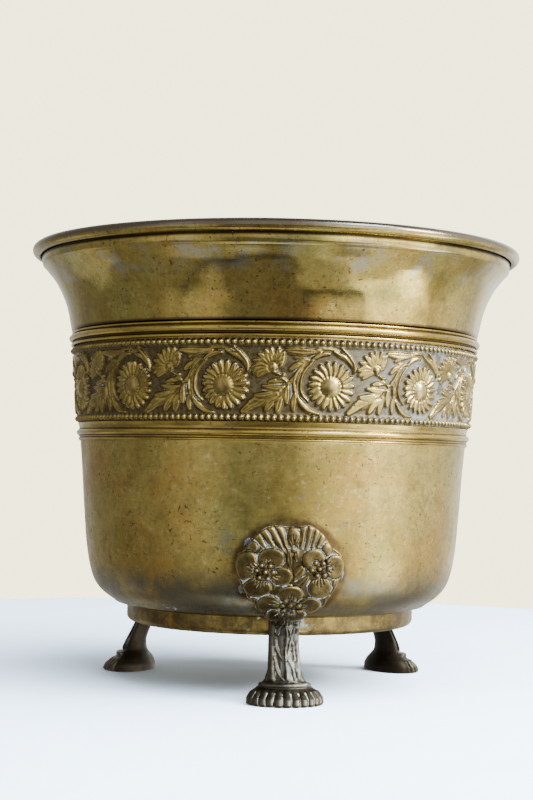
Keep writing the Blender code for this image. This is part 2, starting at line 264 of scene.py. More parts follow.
def stroke(across, up, path, widths, height, crease=0.0, steps=5):
    """A rounded ridge along a path, widths wide along it: its lift, and how far outside it is."""
    line = np.array(smooth_curve(path, steps), dtype=float)
    share = np.linspace(0.0, 1.0, len(line))
    width = np.interp(share, np.linspace(0.0, 1.0, len(widths)), widths)
    nearest = np.full(across.shape, FAR)
    outside = np.full(across.shape, FAR)
    for i in range(len(line) - 1):
        step = line[i + 1] - line[i]
        length = step @ step + 1e-9
        t = np.clip(((across - line[i][0]) * step[0] + (up - line[i][1]) * step[1]) / length, 0, 1)
        gap = np.hypot(across - line[i][0] - t * step[0], up - line[i][1] - t * step[1])
        half = 0.5 * (width[i] + (width[i + 1] - width[i]) * t) + 1e-6
        nearest = np.minimum(nearest, gap / half)
        outside = np.minimum(outside, gap - half)
    lift = dome(nearest, 2.2) * (1.0 - crease * bell(nearest, 0.0, 0.2))
    return height * lift, outside


def leaf(across, up, tip, base, width, height, bend=0.0, crease=0.35):
    """A spindle-shaped lobe between its tip and its base, as a stroke."""
    tip, base = Vector(tip), Vector(base)
    along = base - tip
    middle = (tip + base) / 2.0 + bend * Vector((-along.y, along.x))
    widths = [share * width for share in (0.62, 1.0, 1.08, 0.82, 0.38)]
    return stroke(across, up, [tip, middle, base], widths, height, crease)


def pebble(across, up, centre, half_width, half_height, height, power=2.0, dish=0.0):
    """An oval boss, as a stroke; a higher power flattens its top and dish hollows it."""
    away = np.hypot((across - centre[0]) / half_width, (up - centre[1]) / half_height)
    lift = height * dome(away, power) - dish * np.clip(1.0 - (away / 0.88) ** 2, 0.0, 1.0)
    return lift, (away - 1.0) * min(half_width, half_height)


def press(field, shape, groove=0.35):
    """The field with a shape raised on it and a groove left round the shape."""
    lift, outside = shape
    return np.maximum(field * (1.0 - groove * bell(outside, 0.35, 0.32)), lift)


def softened(field, passes):
    """The field blurred a little, with its columns closing round."""
    for _ in range(passes):
        field = (np.roll(field, 1, axis=1) + 2.0 * field + np.roll(field, -1, axis=1)) / 4.0
        padded = np.concatenate([field[:1], field, field[-1:]])
        field = (padded[:-2] + 2.0 * field + padded[2:]) / 4.0
    return field


# ---------------------------------------------------------------- the frieze's ornament
# Places are (across, up) from the middle of the daisy.

SCROLL = [
    # path, widths, height
    ([(-7, -13.8), (-12, -12.3), (-15.6, -9), (-18, -4.5), (-19.1, 1), (-18.6, 5),
      (-17.3, 8), (-15, 11)], (1.2, 1.7, 1.8, 1.6, 1.4, 1.0), 1.25),
    ([(-16, -7), (-17.3, -2.5), (-17.4, 1), (-16.8, 5), (-15.2, 8.6), (-12.4, 11.8)],
     (0.6, 1.0, 1.0, 0.6), 0.85),
    ([(-11.5, -7.5), (-14, -5), (-15.5, -2), (-15.6, 1), (-15.3, 4), (-13.9, 7.8),
      (-11.7, 10.5), (-9.2, 13)], (1.0, 1.6, 1.6, 1.5, 1.1), 1.2),
    ([(-5.5, -13.8), (-10.5, -12.6), (-14.3, -9.6), (-16.8, -6)], (1.2, 3.2, 3.4, 1.6), 1.15),
    ([(-10.5, 13.2), (-7.5, 15.4), (-4.3, 16.7), (-1, 16.8)], (1.4, 2.8, 3.0, 1.6), 1.3),
    ([(-12, 16.8), (-8.5, 18.5), (-4.3, 19.2), (0, 19.0), (4, 18.4)], (1.1, 1.7, 1.6, 1.0), 1.15),
    ([(1.0, 18.0), (4.2, 16.4), (8, 14.8), (11, 12), (12.2, 9.4), (12.2, 7.4)],
     (1.0, 2.8, 3.4, 2.6, 1.0), 1.2),
    ([(5.2, 19.7), (7.2, 18), (9.4, 15.8), (12, 12.4), (12.7, 9.4), (12.4, 7.4)],
     (1.0, 1.9, 1.9, 1.5, 0.8), 1.45),
]

LEAVES = [
    # tip, base, width, height, bend
    ((9.8, -13.2), (27.5, -4.4), 5.0, 1.3, 0.08),
    ((13.7, -8.3), (26.0, -4.2), 3.6, 1.25, 0.06),
    ((16.4, -4.9), (29.0, -2.2), 3.6, 1.35, -0.06),
    ((20.2, -0.2), (31.5, -0.6), 3.2, 1.3, -0.05),
    ((23.4, 1.9), (31.5, 3.0), 3.0, 1.2, 0.04),
    ((21.8, -12.3), (28.4, -6.0), 4.0, 1.3, 0.10),
    ((27.6, -12.6), (30.4, -4.5), 4.0, 1.25, 0.05),
    ((32.4, -8.6), (33.0, 0.4), 3.5, 1.5, 0.03),
    ((36.0, -12.2), (36.4, -4.0), 3.2, 1.1, 0.04),
    ((33.2, 1.0), (41.0, 11.8), 2.9, 1.2, -0.04),
    ((33.9, 8.4), (40.5, 12.2), 3.1, 1.2, 0.06),
    ((36.4, 14.5), (45.0, 16.8), 2.5, 0.95, 0.06),
    ((38.9, 13.2), (45.4, 13.0), 2.3, 0.95, 0.02),
    ((31.8, 18.0), (49.0, 18.0), 4.2, 1.25, -0.03),
    # the small flower's petals
    ((15.7, 12.9), (22.8, 10.2), 3.2, 1.1, 0.05),
    ((18.2, 16.0), (23.8, 10.6), 3.3, 1.2, 0.04),
    ((21.3, 18.0), (24.6, 11.0), 2.9, 1.15, 0.03),
    ((24.2, 18.9), (25.4, 11.0), 2.5, 1.1, 0.0),
    ((27.9, 18.7), (26.0, 11.0), 3.4, 1.25, 0.05),
    ((30.2, 16.6), (26.8, 10.4), 4.2, 1.35, 0.08),
    ((30.6, 13.9), (27.0, 10.2), 3.0, 1.15, 0.05),
    ((30.2, 11.7), (26.6, 9.4), 2.4, 1.0, 0.05),
    ((14.6, 9.2), (23.2, 9.2), 3.4, 1.2, 0.05),
    ((15.4, 6.5), (23.2, 8.2), 3.2, 1.15, 0.08),
    ((17.4, 4.9), (24.0, 7.6), 2.8, 1.1, 0.10),
]

# Low bodies of leaf that the lobes stand on: path, widths, height.
BODIES = [
    ([(14.0, -10.6), (20.0, -7.6), (26.0, -4.0), (31.5, -0.6)], (2.5, 6.5, 7.0, 3.5), 0.75),
    ([(24.5, -9.0), (28.4, -5.0), (31.5, -0.6)], (3.0, 6.0, 3.5), 0.75),
    ([(16.5, 8.5), (20.5, 12.0), (25.0, 14.0), (29.0, 14.0)], (3.5, 6.0, 6.5, 4.5), 0.6),
]

TWIGS = [
    ([(25.0, 7.2), (27.4, 6.4), (29.2, 5.4), (30.6, 5.4)], (1.2, 1.3, 1.4, 2.0), 1.2),
    ([(33.0, 1.4), (30.5, 3.6), (27.8, 3.8)], (1.4, 1.6, 1.0), 1.0),
    ([(32.6, 1.0), (35.5, 3.8), (37.8, 7.6), (40.6, 11.0), (43.6, 13.6)],
     (1.6, 1.2, 1.0, 0.9, 0.6), 0.95),
]


DAISY_PETALS = 19
PETAL_TIP = 11.4             # from the daisy's middle; a little more at its top and right
PETAL_BASE = 4.8
PETAL_WIDTHS = (2.3, 3.7, 3.4, 2.6, 1.7)

# Round bosses: middle, half width, half height and lift.
DAISY_MIDDLE = ((0.0, 0.0), 5.3, 5.3, 2.7)
FLOWER_MIDDLE = ((25.3, 9.4), 2.3, 2.3, 2.0)

BEAD_ROWS = ((22.3, 1.5, 1.5, 1.6), (-16.4, 1.4, 1.72, 1.5))  # height, then as for a boss
BORDERS = ((20.3, 0.5), (-14.2, 0.45))  # height and lift of the fine line beside each row
ORNAMENT_LIFT = 1.2          # the lists of leaves and scrolls are raised by this


def press_daisy(field, across, up):
    """Ring of club-shaped petals round a domed middle."""
    for i in range(DAISY_PETALS):
        angle = -math.pi / 2.0 + i * TURN / DAISY_PETALS
        out = Vector((math.cos(angle), math.sin(angle)))
        tip = out * (PETAL_TIP + 0.5 * out.x + 0.7 * max(out.y, 0.0))
        petal = stroke(across, up, [tip, out * PETAL_BASE], PETAL_WIDTHS, 1.7, 0.12)
        field = press(field, petal, 0.45)
    return press(field, pebble(across, up, *DAISY_MIDDLE))


def frieze_relief():
    """Lift of one repeat over the plain strip, rows by columns."""
    along = REPEAT_LEFT + REPEAT_LENGTH * (np.arange(REPEAT_COLUMNS) + 0.5) / REPEAT_COLUMNS
    rise = np.linspace(FRIEZE_BOTTOM, FRIEZE_TOP, FRIEZE_ROWS) - DAISY_HEIGHT
    across, up = np.meshgrid(along, rise)
    lift = np.zeros(across.shape)
    shifts = [across + step * REPEAT_LENGTH for step in (-1, 0, 1)]
    for u in shifts:
        for path, widths, height in BODIES:
            lift = press(lift, stroke(u, up, path, widths, height), 0.0)
    for u in shifts:
        for tip, base, width, height, bend in LEAVES:
            lobe = leaf(u, up, tip, base, width, ORNAMENT_LIFT * height, bend)
            lift = press(lift, lobe, 0.22)
        for path, widths, height in SCROLL + TWIGS:
            lift = press(lift, stroke(u, up, path, widths, ORNAMENT_LIFT * height))
        lift = press_daisy(lift, u, up)
        lift = press(lift, pebble(u, up, *FLOWER_MIDDLE))
        for bead in range(BEADS):
            middle = REPEAT_LENGTH * (bead + 0.5) / BEADS + FIRST_BEAD
            for level, half_width, half_height, height in BEAD_ROWS:
                boss = pebble(u, up, (middle, level), half_width, half_height, height)
                lift = press(lift, boss)
    for border, height in BORDERS:
        lift = np.maximum(lift, height * bell(up, border, 0.35))
    fade = ramp(np.minimum(rise - rise[0], rise[-1] - rise), 0.0, 0.5)
    return softened(lift, 1) * fade[:, None]


BACK_ROWS = 8
FRIEZE_FACE = [
    (115.4, 188.2), (115.7, 185.3), (114.9, 183.4), (113.6, 168.0), (112.5, 151.0),
    (112.4, 147.2), (111.7, 145.6),
]


def build_frieze(finish):
    """The embossed strip, in arcs that meet end to end."""
    relief = frieze_relief()
    hollow = softened(relief, 14) - relief
    height = np.linspace(FRIEZE_BOTTOM, FRIEZE_TOP, FRIEZE_ROWS)
    face = np.array(FRIEZE_FACE)[::-1]
    plain = np.interp(height, face[:, 1], face[:, 0])
    back_height = np.linspace(FRIEZE_TOP, FRIEZE_BOTTOM, BACK_ROWS)
    back = np.interp(back_height, face[:, 1], face[:, 0]) - SHEET
    first = 0
    for number, repeats in enumerate(FRIEZE_ARCS, start=1):
        columns = np.arange(first * REPEAT_COLUMNS, (first + repeats) * REPEAT_COLUMNS + 1)
        angle = (columns + 0.5) * TURN / (FRIEZE_REPEATS * REPEAT_COLUMNS)
        angle = angle + FRIEZE_START + REPEAT_LEFT / REPEAT_LENGTH * TURN / FRIEZE_REPEATS
        column = columns % REPEAT_COLUMNS
        front = plain[:, None] + relief[:, column]
        radius = np.concatenate([front, back[:, None] + np.zeros(len(columns))])
        level = np.concatenate([height, back_height])[:, None] + np.zeros(len(columns))
        mesh = skin("frieze_arc", round_pot(radius, angle, level), close_columns=False)
        mesh.set_sharp_from_angle(angle=math.radians(75.0))
        add_attribute(mesh, "relief", relief[:, column], 0.9)
        add_attribute(mesh, "hollow", hollow[:, column])
        show(f"frieze_arc_{number}", mesh, finish, "frieze_band")
        first += repeats


# ---------------------------------------------------------------- the turned rings

def collar_outline():
    """Rolled rim, creased lip, flare and the neck that hides behind the frieze."""
    centre = (RIM_RADIUS - CURL_RADIUS, RIM_TOP - CURL_RADIUS)
    inside = CURL_RADIUS - SHEET
    roll = arc(centre, inside, CURL_END, math.pi, 30)
    lip = [(centre[0] - inside, 239.2), (134.45, 237.0), (134.2, 235.3), (133.7, 234.4), CREASE]
    flare = smooth_curve([CREASE, (126.0, 225.0), (120.2, 212.5), (116.7, COLLAR_FOOT)], 8)[1:]
    neck = [(NECK_RADIUS, COLLAR_FOOT - 1.6), (NECK_RADIUS, NECK_BOTTOM)]
    return sheet_outline(roll + lip + flare + neck, 1.0)


def upper_moulding_outline():
    """Solid drawn strip: the main reed between two grooves, with a fillet at each edge."""
    back = NECK_RADIUS + GAP
    quarter = math.pi / 2.0
    return fine_curve(
        [(back, 196.8), (back, 188.7), (116.1, 188.7)]
        + arc((116.2, 189.5), 0.8, -quarter, quarter, 8)
        + [(115.6, 190.8), (115.6, 191.6)]
        + arc((116.4, 193.2), 1.7, -0.44 * math.pi, 0.44 * math.pi, 14)
        + [(115.6, 195.0), (115.6, 195.5)]
        + arc((116.0, 196.15), 0.65, -quarter, quarter, 8), 0.35)


def lower_moulding_outline():
    """Solid drawn strip below the frieze: a plain cove, one reed and a thin fillet."""
    back = BOWL_NECK_RADIUS + GAP
    return fine_curve(
        [(back, 145.3), (back, 135.4), (111.2, 135.4)]
        + arc((111.15, 136.4), 0.55, -math.pi / 2, math.pi / 2, 6)
        + arc((111.0, 140.0), 1.7, -0.42 * math.pi, 0.42 * math.pi, 14)
        + smooth_curve([(111.3, 141.9), (111.25, 143.0), (112.0, 145.3)], 4), 0.35)


def bowl_face():
    """Outer face of the bowl, from the neck behind the frieze to the hole in its floor."""
    return [(BOWL_NECK_RADIUS, BOWL_NECK_TOP)] + smooth_curve(BOWL_SIDE, 8)


def bowl_radius(height):
    """Radius of the bowl's outer face at a height."""
    face = np.array(bowl_face())[::-1]
    return np.interp(height, face[:, 1], face[:, 0])


PAN_DISH = ((70.0, 0.0), (64.0, 0.7), (40.0, 1.0), (20.0, 1.1), (0.05, 1.1))  # radius and rise


def pan_outline():
    """The pan: a flange on the bowl's floor, the wall, the corner and the dished floor."""
    lip = (PAN_RADIUS + GAP, BOWL_LIP_HEIGHT)
    slope = (BOWL_SIDE[-1][1] - lip[1]) / (BOWL_SIDE[-1][0] - lip[0])
    flange = BOWL_LIP_HEIGHT + SHEET + 2 * GAP
    corner = (PAN_RADIUS - PAN_CORNER, PAN_FLOOR + PAN_CORNER)
    outer = (
        [(PAN_RADIUS + PAN_FLANGE, flange + slope * PAN_FLANGE), (PAN_RADIUS, flange)]
        + arc(corner, PAN_CORNER, 0.0, -math.pi / 2, 8)
        + smooth_curve([(radius, PAN_FLOOR + rise) for radius, rise in PAN_DISH], 4)
    )
    return sheet_outline(outer, 2.0)


# Dents in the bowl: degrees round from the front foot, height, reach and depth.
DENTS = (
    (18.0, 113.0, 3.4, 0.55), (-31.0, 96.0, 7.0, 0.30), (47.0, 84.0, 6.0, 0.35),
    (96.0, 112.0, 8.0, 0.45), (150.0, 74.0, 6.0, 0.4), (-100.0, 120.0, 9.0, 0.4),
    (-148.0, 92.0, 5.0, 0.5), (63.0, 121.0, 4.0, 0.3),
)
DENTED_RADIUS = 107.0        # of the bowl where the dents are


def bowl_wobble(angle, height):
    """Out-of-round hand-worked sheet with a few dents, true at its neck and lower corner."""
    wall = ramp(height, 48.0, 68.0) * ramp(height, 134.0, 122.0)
    wobble = 0.10 * ring_noise(angle, height, 5, 9, 0.05) + 0.05 * ring_noise(angle, height, 6, 30, 0.2)
    for turn, level, reach, depth in DENTS:
        away = (angle - math.radians(turn) + math.pi) % TURN - math.pi
        distance = np.hypot(away * DENTED_RADIUS, height - level)
        wobble = wobble - depth * bell(distance, 0.0, reach)
    return wall * wobble


def collar_wobble(angle, height):
    """Gentle waves in the flare, none at the neck that must fit."""
    waves = 0.10 * ring_noise(angle, height, 8, 7, 0.06) + 0.05 * ring_noise(angle, height, 9, 24, 0.15)
    return ramp(height, 199.0, 207.0) * waves


def strip_wobble(angle, height):
    """Small unevenness of a drawn strip."""
    return 0.05 * ring_noise(angle, height, 11, 40, 0.02)


def clear_of_feet(points):
    """How far each point is outside the nearest foot's plate or column, in half plates."""
    third = TURN / len(STATIONS)
    x, y, height = np.moveaxis(points, -1, 0)
    radius = np.hypot(x, y)
    across = ((np.arctan2(x, -y) + third / 2.0) % third - third / 2.0) * radius
    plate = np.hypot(across / PLATE_HALF[0], (height - PLATE_CENTRE) / PLATE_HALF[1]) - 1.0
    column = np.abs(across) / PLATE_HALF[0] - COLUMN_SHARE
    column = np.where(radius > PAN_RADIUS - 0.5, column, FAR)
    return np.where(height < PLATE_BOTTOM, column, plate)


def build_rings(finishes):
    """Every turned piece of the pot."""
    wire = arc((RIM_RADIUS - CURL_RADIUS, RIM_TOP - CURL_RADIUS), WIRE_RADIUS, 0, TURN, 16)[:-1]
    rings = (
        ("collar", "flared_collar", collar_outline(), collar_wobble, "brass"),
        ("rolled_in_wire", "rim_wire", wire, None, "iron_wire"),
        ("reeded_moulding", "upper_moulding", upper_moulding_outline(), strip_wobble, "embossed_brass"),
        ("plain_moulding", "lower_moulding", lower_moulding_outline(), strip_wobble, "embossed_brass"),
        ("spun_bowl", "bowl", sheet_outline(bowl_face() + [(PAN_RADIUS + GAP, BOWL_LIP_HEIGHT)]),
         bowl_wobble, "brass"),
        ("dished_pan", "base_pan", pan_outline(), None, "brass"),
    )
    for name, node, outline, wobble, slot in rings:
        finish = finishes.get(name, finishes[slot])
        points = turned_points(outline, ROUND, wobble)
        mesh = skin(name, points)
        mesh.set_sharp_from_angle(angle=math.radians(40.0))
        radius = np.hypot(points[..., 0], points[..., 1])
        around = np.stack([np.roll(radius, shift, axis=0) for shift in range(-3, 4)])
        add_attribute(mesh, "hollow", around.mean(axis=0) - radius)
        add_attribute(mesh, "clear_of_feet", clear_of_feet(points))
        show(name, mesh, finish, node)


# ---------------------------------------------------------------- the feet
# Places on a plate are (across, height above the table).

PLATE_OUTLINE = [
    (28.0, 73.0), (27.4, 76.2), (25.6, 79.2), (22.6, 81.6), (19.6, 85.0), (16.8, 88.4),
    (13.6, 91.2), (10.6, 92.8), (8.2, 93.5), (5.2, 92.9), (1.0, 92.5), (-3.2, 92.7),
    (-6.4, 93.1), (-9.6, 92.9), (-12.4, 92.1), (-15.2, 90.2), (-17.8, 87.8), (-20.6, 85.2),
    (-22.6, 81.4), (-25.6, 78.8), (-27.6, 75.8), (-28.0, 72.4), (-27.2, 69.6), (-26.2, 65.6),
    (-24.6, 61.8), (-22.4, 58.2), (-20.2, 54.6), (-17.2, 51.6), (-15.0, 48.4), (-12.0, 45.6),
    (-9.0, 43.2), (-4.5, 42.2), (0.0, 42.6), (5.0, 42.0), (9.0, 43.4), (12.0, 46.0),
    (15.4, 48.4), (18.6, 50.6), (20.2, 54.0), (22.4, 58.4), (24.6, 61.4), (26.2, 66.0),
    (27.4, 69.6),
]

FAN_RIBS = [
    ((-6.8, 92.9), (-1.6, 80.6)), ((-10.9, 92.1), (-3.2, 79.0)), ((-14.3, 90.2), (-8.3, 82.0)),
    ((-16.9, 87.8), (-12.7, 82.0)), ((6.3, 92.6), (4.7, 81.6)), ((9.9, 92.1), (7.2, 81.2)),
    ((13.1, 90.4), (10.2, 81.8)), ((16.2, 88.3), (12.6, 81.6)),
]

BLOSSOMS = [
    # middle, then petals as (across, height, half width, half height), then beads
    ((-12.4, 69.2),
     [(-21.4, 72.0, 6.3, 7.7), (-9.6, 76.3, 6.7, 5.5), (-4.3, 67.2, 5.4, 4.8),
      (-16.2, 61.0, 7.3, 5.0)],
     [(-14.2, 72.6), (-10.1, 72.4), (-16.6, 70.0), (-8.5, 69.2), (-15.1, 66.3), (-11.1, 65.7)]),
    ((14.1, 71.1),
     [(11.2, 75.9, 6.0, 5.6), (22.2, 72.3, 5.5, 6.3), (14.9, 61.4, 6.2, 5.6)],
     [(11.9, 74.2), (15.8, 74.0), (10.2, 70.5), (18.7, 71.4), (13.0, 67.6), (16.7, 67.9)]),
    ((1.0, 51.6),
     [(0.4, 57.7, 6.6, 4.6), (-9.7, 52.3, 5.9, 5.0), (10.4, 51.5, 6.2, 4.7),
      (-5.9, 45.6, 4.3, 3.7), (4.6, 45.4, 4.9, 3.9)],
     [(-1.6, 54.0), (2.6, 54.4), (-2.9, 51.4), (5.0, 51.3), (-2.0, 48.5), (2.6, 48.5)]),
]

PLATE_LEAVES = [
    # tip, base, width, height
    ((-20.4, 58.6), (-15.4, 50.6), 3.6, 1.0), ((-10.4, 59.8), (-6.4, 63.0), 2.6, 0.9),
    ((24.0, 66.6), (21.4, 58.6), 3.2, 1.0), ((19.6, 58.0), (19.4, 51.0), 3.0, 1.0),
    ((1.8, 66.6), (6.6, 72.6), 5.4, 1.3), ((2.8, 60.8), (8.4, 66.8), 4.8, 1.2),
    ((-1.4, 79.4), (-0.4, 72.4), 3.2, 1.3), ((2.4, 80.2), (2.7, 75.2), 2.8, 1.3),
]

BUDS = [
    # middle, half width, half height
    ((1.0, 87.0), 3.5, 5.3), ((-19.2, 81.8), 3.3, 3.3), ((18.0, 81.1), 2.9, 3.4),
    ((1.0, 80.9), 1.5, 1.7),
]


BUD_VEINS = ((-1.0, 86.5), (0.4, 88.2), (1.8, 88.2), (3.1, 86.2))  # tips, on the top bud
BUD_VEIN_ROOT = (1.3, 82.0)
PETAL_VEINS = (-38.0, -26.0, -13.0, 0.0, 13.0, 26.0, 38.0)  # degrees from the petal's own line


def plate_relief(across, up):
    """Lift of the cast ornament over the plate."""
    lift = np.zeros(across.shape)
    for tip, base in FAN_RIBS:
        lift = press(lift, stroke(across, up, [tip, base], (4.1, 3.5, 1.9), 1.6))
    for tip, base, width, height in PLATE_LEAVES:
        lift = press(lift, leaf(across, up, tip, base, width, height))
    for middle, half_width, half_height in BUDS:
        lift = press(lift, pebble(across, up, middle, half_width, half_height, 1.6, 2.6))
    for middle, petals, beads in BLOSSOMS:
        for x, z, half_width, half_height in petals:
            boss, outside = pebble(across, up, (x, z), half_width, half_height, 2.0, 5.0, 0.7)
            out = Vector((x - middle[0], z - middle[1]))
            for swing in PETAL_VEINS:
                way = out.copy()
                way.rotate(Matrix.Rotation(math.radians(swing), 2))
                far = 0.98 - 0.008 * abs(swing)
                vein = [Vector(middle) + way * 0.4, Vector(middle) + way * far]
                boss = boss - stroke(across, up, vein, (1.0, 0.9, 0.4), 0.62)[0]
            lift = press(lift, (boss, outside), 0.75)
        lift = press(lift, pebble(across, up, middle, 4.0, 3.6, 1.0, 2.0), 0.0)
        for bead in [middle] + beads:
            lift = press(lift, pebble(across, up, bead, 1.35, 1.35, 2.7), 0.4)
    for tip in BUD_VEINS:
        lift = lift - stroke(across, up, [BUD_VEIN_ROOT, tip], (0.8, 0.3), 0.5)[0]
    return lift


PLATE_SIDES = 420            # points round each ring of a plate's mesh
PLATE_RINGS = 84             # rings over its face
PLATE_BACK_RINGS = np.array([0.995, 0.97, 0.6, 0.1])  # as shares of its outline
PLATE_BACK_LIFT = 0.1
EDGE_ROUNDING = 1.1
BRIM_LIFT = 0.55             # a fine raised line near the outline
BRIM_INSET = 0.7
BRIM_TOP = 81.0              # it stops below the fan


def plate_points():
    """Rings of the plate from the middle of its face, over the edge, to its back."""
    shares = np.linspace(0.01, 1.0, PLATE_RINGS)
    outline = np.array(smooth_curve(PLATE_OUTLINE + PLATE_OUTLINE[:1], 6)) - (0.0, PLATE_CENTRE)
    turn = np.unwrap(np.arctan2(outline[:, 1], outline[:, 0]))
    reach = np.hypot(outline[:, 0], outline[:, 1])
    order = np.argsort(turn)
    angle = np.arange(PLATE_SIDES) * TURN / PLATE_SIDES + turn.min()
    edge = np.interp(angle, turn[order], reach[order])
    reach_out = edge[:, None] * np.stack([np.cos(angle), np.sin(angle)], axis=-1)
    flat = shares[:, None, None] * reach_out + (0.0, PLATE_CENTRE)
    relief = plate_relief(flat[..., 0], flat[..., 1])
    inside = (1.0 - shares[:, None]) * edge[None, :]
    rounding = dome(1.0 - ramp(inside, 0.0, EDGE_ROUNDING))
    brim = BRIM_LIFT * bell(inside, BRIM_INSET, 0.5) * (flat[..., 1] < BRIM_TOP)
    lift = PLATE_EDGE * (0.45 + 0.55 * rounding) + PLATE_CROWN * np.sqrt(1.0 - shares[:, None] ** 2)
    lift = lift + np.maximum(relief * np.clip(0.25 + inside / 0.9, 0, 1), brim)
    hollow = softened(lift, 9) - lift
    front = np.concatenate([flat, lift[..., None]], axis=-1)
    back = PLATE_BACK_RINGS[:, None, None] * reach_out + (0.0, PLATE_CENTRE)
    back = np.concatenate([back, np.full(back.shape[:2] + (1,), PLATE_BACK_LIFT)], axis=-1)
    return np.concatenate([front, back]), hollow


# Height and radius of the plate's back where it leaves the bowl and curls in to the column.
CURL_IN = np.array([(41.0, 84.2), (44.0, 87.0), (48.0, 91.6), (52.0, 95.6), (56.0, 99.2)])


def plate_base(height):
    """Radius that the plate is laid on: the bowl, and the curl below it."""
    curl = np.interp(height, CURL_IN[:, 0], CURL_IN[:, 1])
    return np.where(height < CURL_IN[-1, 0], curl, bowl_radius(height))


# Height, middle of the section, half width, half depth and exponent of the outline:
# 2 is an ellipse, less is drawn in towards a ridge.
LEG_SECTIONS = np.array([
    (0.0, 91.0, 18.6, 13.0, 2.0), (0.5, 91.0, 19.3, 13.6, 2.0), (1.4, 91.0, 19.5, 13.6, 2.0),
    (3.8, 90.3, 19.4, 13.0, 2.0), (7.0, 89.3, 17.6, 10.7, 2.0), (8.4, 89.2, 15.0, 8.9, 2.0),
    (9.0, 89.2, 13.9, 8.3, 2.0), (9.6, 89.2, 13.2, 8.2, 2.0), (11.0, 89.0, 13.2, 8.0, 2.0),
    (11.6, 88.6, 9.3, 6.6, 1.6), (17.0, 87.7, 8.9, 4.8, 1.6), (23.0, 84.5, 8.8, 4.4, 1.6),
    (29.0, 81.7, 8.3, 4.3, 1.6), (34.0, 80.7, 8.2, 4.4, 1.6), (40.0, 82.2, 8.4, 4.0, 1.6),
    (46.0, 86.8, 8.8, 4.4, 1.6), (53.0, 95.0, 9.4, 5.4, 1.6),
])
GADROONS = 26
GADROON_TOP = 8.2
GADROON_LIFT = 1.5
GADROON_BED = 0.5            # how far the metal between the gadroons is set back
RING_HEIGHT = 10.2           # the half-round ring between the gadroons and the bark
RING_LIFT = 0.7
BARK_BOTTOM = 11.6
BARK_LIFT = 1.7
BARK_BED = 0.7
LEG_SIDES = 260              # points round each ring of a leg's mesh
LEG_ROWS = np.concatenate([np.linspace(0.0, 12.0, 61), np.linspace(12.0, 53.0, 130)[1:]])
BLUR_ROWS = 41               # rows averaged to make the leg's plain inner side

# Polish has dried in the grooves of the faces that are cleaned, not in a blossom's heart.
# Below the plate, where this is low, the casting is darkened as painted shade: the leg's plain inner
# side and the lowest blossom's heart.
HEART_RUBBED = 0.8
HEART_REACH = 6.5

BARK = [
    # path, widths, height: ridges that stand on the column's face
    ([(0.9, 11.5), (0.3, 22.0), (0.8, 34.0), (0.2, 50.0)], (2.3, 1.9, 1.7, 1.9), 1.3),
    ([(-0.6, 41.0), (-2.8, 37.8), (-4.8, 33.0)], (0.8, 1.2, 0.9), 0.85),
    ([(-5.0, 34.0), (-4.8, 30.0), (-3.2, 26.0), (-0.8, 22.6)], (0.9, 1.2, 0.9), 0.85),
    ([(-5.2, 24.0), (-4.8, 19.6), (-2.8, 15.0), (-0.4, 12.6)], (0.9, 1.2, 0.9), 0.85),
    ([(1.4, 39.6), (3.4, 33.4), (4.8, 27.4), (5.2, 22.0)], (0.9, 1.2, 0.9), 0.9),
    ([(5.4, 39.0), (3.4, 32.6), (1.9, 27.4), (1.4, 24.0)], (0.9, 1.2, 0.9), 0.9),
    ([(1.4, 22.6), (3.4, 19.4), (4.6, 15.2), (6.0, 12.0)], (0.9, 1.3, 0.9), 0.9),
    ([(-1.2, 48.0), (-3.8, 44.0), (-5.2, 40.0)], (0.8, 1.1, 0.8), 0.8),
    ([(1.6, 47.0), (4.0, 43.6), (5.4, 41.0)], (0.8, 1.1, 0.8), 0.8),
    ([(-6.6, 12.0), (-6.1, 30.0), (-6.4, 48.0)], (2.0, 1.8, 1.8), 1.1),
    ([(6.8, 12.0), (6.3, 30.0), (6.6, 48.0)], (2.0, 1.8, 1.8), 1.1),
]


